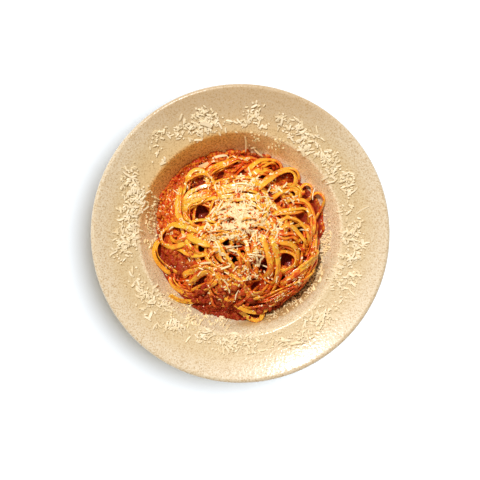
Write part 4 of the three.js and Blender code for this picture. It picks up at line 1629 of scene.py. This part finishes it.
@dataclass(frozen=True)
class Glaze:
    """Semi-gloss cream glaze with a tan mottle and fine dark specks, and light and shade painted into its
    colour.

    Each span gives the radius at which a share is 0 and the one at which it is 1.
    """

    cream: Color = (0.67, 0.58, 0.40)
    pale: Color = (0.74, 0.69, 0.575)
    tan: Color = (0.57, 0.42, 0.22)
    speck: Color = (0.34, 0.22, 0.09)
    # Painted light: a paler colour for the well, which lies in shade.
    painted_well_light: Color = (0.86, 0.82, 0.66)
    # Painted light: a paler colour for two sides of the wall that lie in shade.
    painted_wall_light: Color = (1.0, 0.93, 0.76)
    # Painted shade: a darker colour for the back of the rim, which faces away from the light.
    rim_back_shade: Color = (0.60, 0.50, 0.37)
    freckle: Color = (0.38, 0.17, 0.04)
    # Painted warm bounce light for the shaded back-left wall, partly an oily smear.
    oil_and_bounce: Color = (0.95, 0.50, 0.05)
    # Painted shadow of the heap beside the sauce, partly sauce juices.
    juice_and_shadow: Color = (0.45, 0.27, 0.09)
    roughness: float = 0.42
    coat: float = 0.35
    coat_roughness: float = 0.16
    peel: float = 2.4
    peel_height: float = 0.00035
    well: Span = (95.0, 91.0)
    pale_rim: Span = (110.0, 128.0)
    # Radii over which painted warm shade fades out from the well's edge across the rim.
    back_warm_shade: Span = (116.0, 91.0)
    # Radii over which the heap's painted shadow, partly sauce juices, fades out on the wall.
    run_out: Span = (88.5, 83.0)
    # Sides of the wall that get painted light.
    painted_light_sides: tuple[Side, ...] = rows(Side, (38, 52.0, 84.0), (168, 52.0, 84.0))
    # Side of the rim that gets painted shade.
    rim_back_shade_side: Side = Side(90, 75.0, 122.0)
    # Side of the well that gets painted warm bounce light, partly an oily smear.
    oil_and_bounce_side: Side = Side(128, 45.0, 88.0)
    # Side of the rim that gets painted warm shade.
    back_warm_shade_side: Side = Side(108, 10.0, 90.0)
    # Side on which the heap's painted shadow, partly sauce juices, lies in patches.
    juice_and_shadow_side: Side = Side(-58, 61.0, 76.0)
    juice_and_shadow_spots: Spots = Spots(5.0, 3.0, 0.24, 0.46)
    mottle: Spots = Spots(2.4, 4.0, 0.42, 0.68)
    grit: Spots = Spots(1.3, 2.0, 0.36, 0.64)
    fine_specks: Spots = Spots(1.3, 1.0, 0.56, 0.70)
    coarse_specks: Spots = Spots(2.0, 2.0, 0.62, 0.72)
    freckles: Spots = Spots(1.8, 3.0, 0.50, 0.62)

    def build(self) -> Material:
        """Make the material: its colours one over another, then its relief and gloss.

        Returns:
            The material.
        """
        material, graph, shader = new_material("glazed_stoneware")
        place = graph.millimetres()
        well = graph.by_radius(*self.well)
        # Painted warm bounce light in the shade of the back-left wall, partly an oily smear; the specks
        # below follow it.
        film_and_shade = graph.times(well, self.oil_and_bounce_side.share(graph))
        base = graph.mix(graph.by_radius(*self.pale_rim), self.cream, self.pale)
        # Painted shade: the back of the rim is darker.
        base = graph.mix(self.rim_back_shade_side.share(graph), base, self.rim_back_shade)
        # Painted light: the shaded well is paler than the rim.
        base = graph.mix(well, base, self.painted_well_light)
        # Painted light on two shaded sides of the wall.
        for side in self.painted_light_sides:
            base = graph.tint(base, self.painted_wall_light, graph.times(well, side.share(graph)), 0.9)
        # Painted warm bounce light on the shaded back-left wall, partly an oily smear.
        base = graph.tint(base, self.oil_and_bounce, film_and_shade, 0.68)
        # Painted warm shade on the back of the rim near the well, in the orange of the wall.
        back_warm_shade = graph.times(graph.by_radius(*self.back_warm_shade), self.back_warm_shade_side.share(graph))
        base = graph.tint(base, self.oil_and_bounce, back_warm_shade, 0.2)
        # The heap's painted shadow, partly sauce juices, in patches on the wall beside the sauce on the
        # front right.
        juice_and_shadow = graph.times(self.juice_and_shadow_side.share(graph), self.juice_and_shadow_spots.share(graph, place))
        base = graph.tint(base, self.juice_and_shadow, graph.times(graph.by_radius(*self.run_out), juice_and_shadow), 0.9)
        mottle, grit = self.mottle.share(graph, place), self.grit.share(graph, place)
        base = graph.mix(graph.plus(graph.times(mottle, 0.17), graph.times(grit, 0.45)), base, self.tan)
        fine, coarse = self.fine_specks.share(graph, place), self.coarse_specks.share(graph, place)
        base = graph.mix(graph.most(graph.times(fine, 0.4), graph.times(coarse, 0.4)), base, self.speck)
        freckles = graph.times(self.freckles.share(graph, place), film_and_shade)
        base = graph.tint(base, self.freckle, freckles, 0.75)
        relief = graph.bump(graph.noise(place, self.peel, 1.0), self.peel_height, 0.6)
        graph.fill(shader, {"Base Color": base, "Normal": relief, "Coat Normal": relief})
        graph.gloss(shader, self.roughness, self.coat, self.coat_roughness)
        return material


@dataclass(frozen=True)
class Sauce:
    """Wet tomato and meat sauce, with painted shade toward the front, in the dips of its grain and where it
    lies low.

    Each span gives the value at which a share is 0 and the one at which it is 1.
    """

    red: Color = (0.66, 0.060, 0.009)
    orange: Color = (0.94, 0.40, 0.036)
    # Painted shade colour, dark red.
    shade_brown: Color = (0.28, 0.014, 0.006)
    meat: Color = (0.62, 0.20, 0.040)
    # Painted shade colour, near black, for sauce far down in the hollows.
    pit: Color = (0.06, 0.004, 0.003)
    roughness: float = 0.42
    specular: float = 0.3
    coat: float = 0.08
    coat_roughness: float = 0.10
    grain: Grain = Grain(1.2, 2.2)
    # Painted shade toward the front and the front left, away from the light.
    front_shade_side: Side = Side(-97, 15.0, 70.0)
    front_left_shade_side: Side = Side(-125, 35.0, 60.0)
    browned: Span = (0.45, 0.9)
    # Painted shade in the dips of the grain.
    pits: Span = (0.46, 0.34)
    shade_depth: Span = (0.2, 3.6)
    dull_depth: Span = (4.0, 9.0)
    # Depths over which painted shade turns near black.
    pit_depth: Span = (5.0, 12.0)
    grain_height: float = 0.0011

    def build(self, group: bpy.types.NodeTree, name: str) -> Material:
        """Make the material.

        Args:
            group: The shared food grain.
            name: Name of the material.

        Returns:
            The material.
        """
        material, graph, shader = new_material(name)
        grain = self.grain.place(graph, group).outputs
        depth = graph.mark("depth")
        base = graph.mix(graph.combine("POWER", grain["Mask"], 1.6), self.red, self.orange)
        base = graph.tint(base, self.meat, graph.ramp(graph.mark("tone"), *self.browned), 0.5)
        # Painted shade: darker in the dips of the grain, toward the front and where the sauce lies low, near
        # black far down in the hollows.
        pits = graph.times(graph.ramp(grain["Height"], *self.pits), 0.7)
        front = graph.times(graph.most(self.front_shade_side.share(graph), self.front_left_shade_side.share(graph)), 0.8)
        low = graph.times(graph.ramp(depth, *self.shade_depth), 0.92)
        base = graph.mix(graph.most(graph.most(pits, front), low), base, self.shade_brown)
        base = graph.mix(graph.ramp(depth, *self.pit_depth), base, self.pit)
        relief = graph.bump(grain["Height"], self.grain_height, 0.8)
        dull = graph.combine("MULTIPLY_ADD", graph.ramp(depth, *self.dull_depth), 0.5, self.roughness)
        graph.fill(shader, {"Base Color": base, "Normal": relief, "Specular IOR Level": self.specular})
        graph.gloss(shader, dull, self.coat, self.coat_roughness)
        return material


@dataclass(frozen=True)
class CookedPasta:
    """Cooked golden pasta with patches of sauce on it, and painted shade toward the front and where it lies
    low.
    """

    gold: Color = (0.99, 0.60, 0.080)
    amber: Color = (0.97, 0.41, 0.030)
    sauce: Color = (0.78, 0.12, 0.012)
    # Painted shade colour, dark red.
    shade_red: Color = (0.30, 0.018, 0.006)
    roughness: float = 0.26
    coat: float = 0.6
    coat_roughness: float = 0.14
    glow: float = 0.35
    glow_reach: Color = (0.0030, 0.0013, 0.0004)
    grain: Grain = Grain(0.8, 3.6)
    # Painted shade toward the front, away from the light.
    front_shade_side: Side = Side(-85, 5.0, 55.0)
    # Depths over which sauce colour and painted red shade gather on noodles that lie low.
    wet_and_shade_depth: Span = (-0.8, 2.2)
    shade_depth: Span = (1.2, 5.0)
    edges: Span = (0.5, 1.0)
    ripple: float = 2.6
    ripple_height: float = 0.0008
    streaks: Spots = Spots(1.0, 2.0, 0.36, 0.64)
    film_and_shade: Spots = Spots(1.0, 3.0, 0.35, 0.65)

    @staticmethod
    def along_noodle(graph: Graph, length: float, width: float) -> Socket:
        """Coordinates that run along each noodle.

        Args:
            graph: The material's graph.
            length: Length of one unit along a noodle, in millimetres.
            width: Length of one unit across it, in half widths.

        Returns:
            The coordinates.
        """
        x = graph.combine("DIVIDE", graph.mark("along"), length)
        y = graph.combine("DIVIDE", graph.mark("across"), width)
        inputs = {"X": x, "Y": y, "Z": graph.times(graph.mark("tone"), 97.0)}
        return graph.add("ShaderNodeCombineXYZ", inputs).outputs["Vector"]

    def build(self, group: bpy.types.NodeTree) -> Material:
        """Make the material: plain pasta, sauce on it, then painted shade where it lies low and toward the
        front.

        Args:
            group: The shared food grain.

        Returns:
            The material.
        """
        material, graph, shader = new_material("cooked_pasta")
        grain = self.grain.place(graph, group).outputs
        depth = graph.mark("depth")
        streaks = self.streaks.share(graph, self.along_noodle(graph, 7.0, 1.3), 0.4)
        tone = graph.combine("MULTIPLY_ADD", graph.mark("tone"), 0.5, graph.times(streaks, 0.35))
        base = graph.mix(tone, self.gold, self.amber)
        film_and_shade = self.film_and_shade.share(graph, self.along_noodle(graph, 4.0, 0.9), 0.6)
        front = self.front_shade_side.share(graph)
        # More sauce colour at the edges, where shade falls, toward the front and where noodles lie low:
        # partly sauce, partly painted red shade.
        edge = graph.ramp(graph.combine("ABSOLUTE", graph.mark("across")), *self.edges)
        coat = graph.plus(graph.mark("sauce"), graph.combine("MULTIPLY_ADD", film_and_shade, 0.6, -0.3))
        for share, strength in ((front, 0.28), (edge, 0.35), (graph.ramp(depth, *self.wet_and_shade_depth), 0.85)):
            coat = graph.plus(coat, graph.times(share, strength))
        base = graph.mix(graph.ramp(coat, 0.1, 1.0), base, self.sauce)
        # Painted shade: darker patches toward the front, and darker where noodles lie low.
        dark = graph.times(graph.times(graph.ramp(film_and_shade, 0.4, 0.9), front), 0.4)
        low = graph.times(graph.ramp(depth, *self.shade_depth), 0.92)
        base = graph.mix(graph.most(low, dark), base, self.shade_red)
        height = graph.plus(graph.noise(graph.millimetres(), self.ripple), graph.times(grain["Height"], 0.4))
        relief = graph.bump(height, self.ripple_height, 0.7)
        graph.fill(shader, {"Base Color": base, "Normal": relief, "Subsurface Weight": self.glow})
        graph.fill(shader, {"Subsurface Radius": self.glow_reach, "Subsurface Scale": 1.0})
        graph.gloss(shader, self.roughness, self.coat, self.coat_roughness)
        return material


@dataclass(frozen=True)
class GratedCheese:
    """Pale hard cheese, matt, turning orange where it lies low: partly sauce soaking in, partly painted warm
    shade.
    """

    cream: Color = (0.94, 0.85, 0.62)
    butter: Color = (0.91, 0.73, 0.40)
    # Colour where it lies low: partly sauce soaking in, partly painted warm shade.
    soaked_and_shaded: Color = (0.88, 0.40, 0.08)
    roughness: float = 0.5
    grain: Grain = Grain(0.5, 3.0)
    grain_height: float = 0.0002
    soaked_and_shaded_depth: Span = (-0.4, 2.5)

    def build(self, group: bpy.types.NodeTree, name: str) -> Material:
        """Make the material.

        Args:
            group: The shared food grain.
            name: Name of the material.

        Returns:
            The material.
        """
        material, graph, shader = new_material(name)
        grain = self.grain.place(graph, group).outputs
        base = graph.tint(self.cream, self.butter, graph.mark("tone"), 0.8)
        # Painted warm shade, partly sauce soaking in: pieces that lie low turn orange.
        base = graph.tint(base, self.soaked_and_shaded, graph.ramp(graph.mark("depth"), *self.soaked_and_shaded_depth), 0.9)
        relief = graph.bump(grain["Height"], self.grain_height, 0.5)
        graph.fill(shader, {"Base Color": base, "Normal": relief, "Roughness": self.roughness})
        return material


# ------------------------------------------------------------------ studio


@dataclass(frozen=True)
class Sun:
    """One distant light, with its angles in degrees.

    Its link is INCLUDE for the floor only, or EXCLUDE for all but the floor.
    """

    name: str
    azimuth: float
    elevation: float
    strength: float
    size: float
    link: str
    color: Color = (1.0, 0.995, 0.985)

    def build(self, floor: bpy.types.Object) -> None:
        """Hang the light.

        Args:
            floor: The floor that it lights or leaves out.
        """
        light = bpy.data.lights.new(self.name, "SUN")
        light.energy, light.color, light.angle = self.strength, self.color, math.radians(self.size)
        lamp = bpy.data.objects.new(self.name, light)
        rise = math.radians(self.elevation)
        direction = Vector((*(toward(math.radians(self.azimuth)) * math.cos(rise)), math.sin(rise)))
        lamp.location = direction * 2.0
        lamp.rotation_euler = direction.to_track_quat("Z", "Y").to_euler()
        bpy.context.scene.collection.objects.link(lamp)
        receivers = bpy.data.collections.new(f"{self.name}_receivers")
        receivers.objects.link(floor)
        receivers.collection_objects[0].light_linking.link_state = self.link
        lamp.light_linking.receiver_collection = receivers


@dataclass(frozen=True)
class Studio:
    """Camera straight above the bowl and soft fill.

    One sun from the back left lights all but the floor, and a wide one lights the floor only.
    """

    exposure: float = -0.25
    lens: float = 85.0
    sensor: float = 36.0
    camera_place: tuple[float, float, float] = (-0.0002, -0.006, 1.068)
    suns: tuple[Sun, ...] = rows(
        Sun, ("key", 115, 58, 2.44, 5, "EXCLUDE"), ("table", 24, 65, 3.4, 44, "INCLUDE")
    )
    fill_color: Color = (1.0, 0.79, 0.56)
    fill_strength: float = 0.58
    floor_size: float = 30.0
    floor_patches: float = 400.0
    floor_roughness: float = 0.9
    floor_colors: tuple[Color, Color] = ((0.75, 0.85, 0.99), (0.77, 0.87, 1.00))

    def build_floor(self) -> bpy.types.Object:
        """Lay the plain pale backdrop.

        Returns:
            The floor.
        """
        material, graph, shader = new_material("backdrop")
        shade = graph.noise(graph.millimetres(), self.floor_patches, 1.0)
        base = graph.mix(shade, *self.floor_colors)
        graph.fill(shader, {"Base Color": base, "Roughness": self.floor_roughness})
        shape = bmesh.new()
        bmesh.ops.create_grid(shape, x_segments=8, y_segments=8, size=self.floor_size / 2)
        mesh = bpy.data.meshes.new("floor")
        shape.to_mesh(mesh)
        shape.free()
        floor = new_piece(mesh, material)
        return floor

    def build(self) -> None:
        """Set up floor, lights and camera."""
        scene = bpy.context.scene
        scene.view_settings.view_transform = "Standard"
        scene.view_settings.look = "Medium High Contrast"
        scene.view_settings.exposure = self.exposure
        floor = self.build_floor()
        for sun in self.suns:
            sun.build(floor)
        world = bpy.data.worlds.new("studio")
        world.use_nodes = True
        background = world.node_tree.nodes["Background"]
        background.inputs["Color"].default_value = (*self.fill_color, 1.0)
        background.inputs["Strength"].default_value = self.fill_strength
        scene.world = world
        camera = bpy.data.cameras.new("camera")
        camera.lens, camera.sensor_width, camera.clip_start = self.lens, self.sensor, 0.01
        eye = bpy.data.objects.new("camera", camera)
        eye.location = self.camera_place
        scene.collection.objects.link(eye)
        scene.camera = eye


# ------------------------------------------------------------------ putting it together


MINCE_BED = rows(
    Patch,
    (-64, 22, 8, 20, 110), (-50, 50, 12, 9, 110), (-20, 72, 18, 5, 110), (5, 73, 14, 4, 60),
    (-20, -68, 18, 6, 110), (-62, -22, 8, 8, 40), (10, -66, 16, 6, 60), (30, 62, 14, 5, 30),
    (62, -30, 7, 14, 40), (0, 0, 40, 40, 180),
)
MINCE_TOP = rows(
    Patch,
    (-73, 18, 2, 18, 24), (-10, 74, 16, 2, 30), (-2, -32, 30, 16, 24), (-25, -60, 16, 8, 34),
    (8, -40, 16, 9, 26), (-12, 55, 13, 5, 34), (36, 32, 8, 5, 8), (56, -14, 5, 12, 12),
    (59, -46, 4, 5, 16), (47, -57, 6, 3, 16), (30, -67, 8, 3, 16), (60, 38, 2, 2, 4), (70, 29, 2, 3, 4),
    (-40, -26, 10, 5, 5), (-22, -75, 9, 2, 22), (-3, -77, 6, 2, 12), (-48, -60, 6, 4, 12),
)
CHEESE_PATCHES = rows(
    Patch,
    (-1, 12, 12, 9, 210), (-1, 15, 6, 8, 250), (-12, 12, 14, 11, 110), (14, 5, 14, 9, 95),
    (-22, 2, 12, 6, 60), (12, 26, 12, 6, 60), (30, 10, 8, 8, 30), (15, -24, 3.5, 5, 60),
    (14, -41, 6, 4, 30), (-13, -26, 10, 12, 40), (0, -8, 16, 5, 45), (2, 47, 22, 6, 120),
    (42, 28, 17, 18, 30), (-5, 0, 38, 34, 160), (38, 38, 13, 12, 45), (-12, -25, 22, 14, 28),
    (-30, 69, 14, 4, 16), (-64, 20, 6, 20, 16),
)
CRUMB_PATCHES = rows(
    Patch,
    (0, 10, 22, 16, 600), (0, 0, 42, 42, 1000), (-45, 45, 18, 14, 200), (-70, 22, 5, 22, 130),
    (58, -47, 6, 8, 190), (40, -62, 9, 4, 150), (-76, 10, 3, 16, 110),
)
LARGE_SHREDS = rows(
    Shred,
    (-19, 71.0, 12, 14, 3.2), (-34, 63.5, 24, 10, 3.2), (4.7, 82, 92, 12.5, 1.7), (17, 75, -42, 11, 1.6),
    (68, 36.5, 80, 11, 1.2), (-73, 24, 70, 10, 1.3), (-5, -12, 8, 15, 1.6), (-30.5, -27, 4, 12, 1.7),
    (-46, -25, -60, 8, 1.3), (-12.5, -48, -66, 13.5, 1.6), (-3, -56, 72, 9, 1.4), (-17, -58, 40, 9, 1.5),
    (-14, -31, 20, 11, 1.4), (-21, -33, -30, 8, 1.3), (18, -26, 75, 9, 1.7), (23, -30, -20, 8, 1.5),
    (25, 3, 60, 9, 1.3), (2, 44, -4, 13, 2.2), (33, 53, 75, 7, 1.5), (26, 41, 65, 9, 1.5),
    (-2, 34, -62, 12, 1.6), (-18, 26, 60, 9, 1.6), (9, 57, -70, 8, 1.6), (-33, 3, 62, 12, 1.6),
    (58, 3, -6, 8, 1.2), (33, -42, 84, 6, 1.3),
)
WALL_BANDS = rows(
    RimBand,
    (-76, -24, 74.5, 80.5, 540), (-28, -8, 74.5, 77, 120), (158, 188, 77, 85, 150), (-12, 10, 76, 79, 110),
    (55, 100, 82, 91, 40), (-150, -108, 84, 93, 90), (-114, -96, 79, 84, 50),
)
RIM_BANDS = rows(
    RimBand,
    (0, 10, 95, 111, 55), (10, 25, 95, 108, 36), (25, 36, 95, 112, 85), (36, 60, 96, 111, 170),
    (60, 72, 102, 113, 54), (72, 79, 96, 105, 12), (79, 87, 104, 116, 40), (84, 98, 97, 108, 18),
    (98, 115, 95, 116, 170), (115, 122, 100, 114, 36), (122, 135, 100, 116, 26), (136, 148, 96, 104, 6),
    (148, 157, 101, 117, 45), (155, 170, 94, 110, 160), (170, 185, 94, 112, 120), (185, 198, 103, 115, 45),
    (198, 207, 98, 110, 9), (207, 235, 94, 110, 140), (235, 248, 98, 106, 18), (248, 262, 94, 108, 63),
    (262, 290, 94, 107, 140), (290, 318, 95, 110, 150), (318, 332, 98, 108, 18), (332, 352, 93, 112, 150),
    (352, 360, 95, 110, 40),
)
RIM_SHREDS = rows(
    Shred,
    (-99.5, 52, -29, 15, 2.0), (-31, 98.2, -17, 11, 2.8), (13.5, 106.3, -17, 13, 2.3),
    (-88.6, 20.8, 39, 13, 2.0), (-70, 63.4, 26, 6, 2.0), (111, 21, 31, 13, 1.7), (100.7, 36.3, 37, 9, 1.6),
    (69.3, 93.9, -78, 7, 1.9), (56.2, 98.2, -86, 7, 1.9),
)


def adopt(piece: bpy.types.Object, slot: Slot, *nodes: str) -> None:
    """Fix a piece to the bowl's body and hide the CAD nodes, if any, that it replaces.

    Args:
        piece: The piece.
        slot: Its material slot in the record; not used.
        nodes: CAD nodes that it replaces.
    """
    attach(piece, BODY)
    if nodes:
        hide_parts(*nodes)


@dataclass(frozen=True)
class Layer:
    """One piece of the food: its shapes, its finish and the CAD nodes that it stands for."""

    name: str
    parts: Gathered
    material: Material
    slot: Slot
    nodes: tuple[str, ...]

    def place(self, surface: HeightMap) -> None:
        """Make its mesh and fix it to the bowl's body.

        Args:
            surface: The evened surface of the heap, for the painted shade of what lies low.
        """
        self.parts.mark_depth(surface)
        piece = self.parts.to_object(self.name, self.material, smooth=self.slot is not Slot.CHEESE)
        adopt(piece, self.slot, *self.nodes)


def build_heap(form: HeapForm, group: bpy.types.NodeTree) -> None:
    """Lay sauce, noodles, mince and cheese one on another.

    Args:
        form: Forms of the heap.
        group: The shared food grain.
    """
    sauce, grains = Sauce().build(group, "meat_sauce"), Sauce(coat=0.10).build(group, "minced_meat")
    pasta, cheese = CookedPasta().build(group), GratedCheese().build(group, "grated_cheese")
    ground = HeightMap(reach=90.0, cell=0.5, bare=form.bare)
    heap, mince = NoodleHeap(form, ground), Mince(ground, form)
    shown = {"rim": RIM_NOODLES, "edge": EDGE_NOODLES, "side": SIDE_NOODLES, "middle": MIDDLE_NOODLES}
    layers: list[Layer] = []

    def add(name: str, parts: Gathered, material: Material, slot: Slot, *nodes: str) -> None:
        """Note the next piece: its name, shapes, material, slot and CAD nodes."""
        layers.append(Layer(name, parts, material, slot, nodes))
        log.info("%s: heap is %.1f mm high", name, ground.z.max())

    add("sauce_bed", form.build_bed(), sauce, Slot.SAUCE, "meat_sauce")
    add("sauce_core", form.build_core(), sauce, Slot.SAUCE, "pasta")
    add(BURIED.name, heap.build_tangle(BURIED), pasta, Slot.PASTA, "pasta")
    add("mince_bed", mince.build("mince_bed", MINCE_BED), grains, Slot.SAUCE, "meat_sauce")
    add(RING.name, heap.build_tangle(RING), pasta, Slot.PASTA, "pasta")
    for place, noodles in shown.items():
        name = f"noodles_{place}"
        add(name, heap.build_shown(name, noodles), pasta, Slot.PASTA, "pasta")
    add("mince_top", mince.build("mince_top", MINCE_TOP), grains, Slot.SAUCE)
    surface = ground.evened(rounds=120, kept=form.food_only)

    on_heap = Gathered()
    shreds = Shreds(ground)
    rng = np.random.default_rng(shreds.seed)
    shreds.on_heap(on_heap, CHEESE_PATCHES, form, rng)
    shreds.named(on_heap, LARGE_SHREDS, rng)
    crumbs = Shreds(ground, width=1.0, thickness=0.75, shortest=0.8, longest=3.2)
    crumbs.on_heap(on_heap, CRUMB_PATCHES, form, rng)
    add("cheese_on_heap", on_heap, cheese, Slot.CHEESE, "grated_cheese")
    topped = ground.evened(rounds=60, kept=form.food_only)
    for layer in layers:
        layer.place(topped if layer.slot is Slot.CHEESE else surface)


def build_rim_cheese(form: HeapForm, group: bpy.types.NodeTree) -> None:
    """Scatter cheese on the rim and on the wall of the well.

    Args:
        form: Forms of the heap, for the sauce juices and the heap's painted shadow that darken the crumbs on
            the wall.
        group: The shared food grain.
    """
    bowl = form.bowl
    ground = HeightMap(reach=125.0, cell=0.75, bare=lambda x, y: bowl.height(np.hypot(x, y)))
    shreds = Shreds(ground, width=1.6, thickness=1.25, shortest=1.4, longest=7.5)
    on_rim, on_wall = Gathered(), Gathered()
    rng = np.random.default_rng(shreds.seed + 1)
    shreds.on_rim(on_rim, RIM_BANDS, rng)
    shreds.named(on_rim, RIM_SHREDS, rng)
    dry = GratedCheese(cream=(0.88, 0.83, 0.68), butter=(0.83, 0.74, 0.52)).build(group, "dry_cheese")
    adopt(on_rim.to_object("cheese_on_rim", dry, smooth=False), Slot.CHEESE, "bowl")
    crumbs = Shreds(ground, width=1.35, thickness=1.1, shortest=1.0, longest=4.8)
    crumbs.on_rim(on_wall, WALL_BANDS, np.random.default_rng(crumbs.seed + 2))
    # Crumbs on the wall near the sauce on the front right darken: partly sauce juices, partly the heap's
    # painted shadow, with painted shade on the lower ones.
    soak_and_shade = SoakAndShade(math.radians(Glaze.juice_and_shadow_side.azimuth))
    on_wall.marks["depth"] = [soak_and_shade.depths(np.concatenate(on_wall.points), form.sauce_outline, bowl.height)]
    juicy_and_shaded = GratedCheese(soaked_and_shaded=(0.46, 0.25, 0.08)).build(group, "juicy_shaded_cheese")
    adopt(on_wall.to_object("cheese_on_wall", juicy_and_shaded, smooth=False), Slot.CHEESE)


def main() -> None:
    """Build every piece in the order in which it lies in the bowl."""
    logging.basicConfig(level=logging.INFO, format="%(name)s: %(message)s")
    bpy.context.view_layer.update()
    Studio().build()
    group = grain_group()
    bowl = Bowl()
    form = HeapForm(bowl)
    adopt(bowl.build(Glaze().build()), Slot.STONEWARE, "bowl")
    build_heap(form, group)
    build_rim_cheese(form, group)


if __name__ == "__main__":
    main()
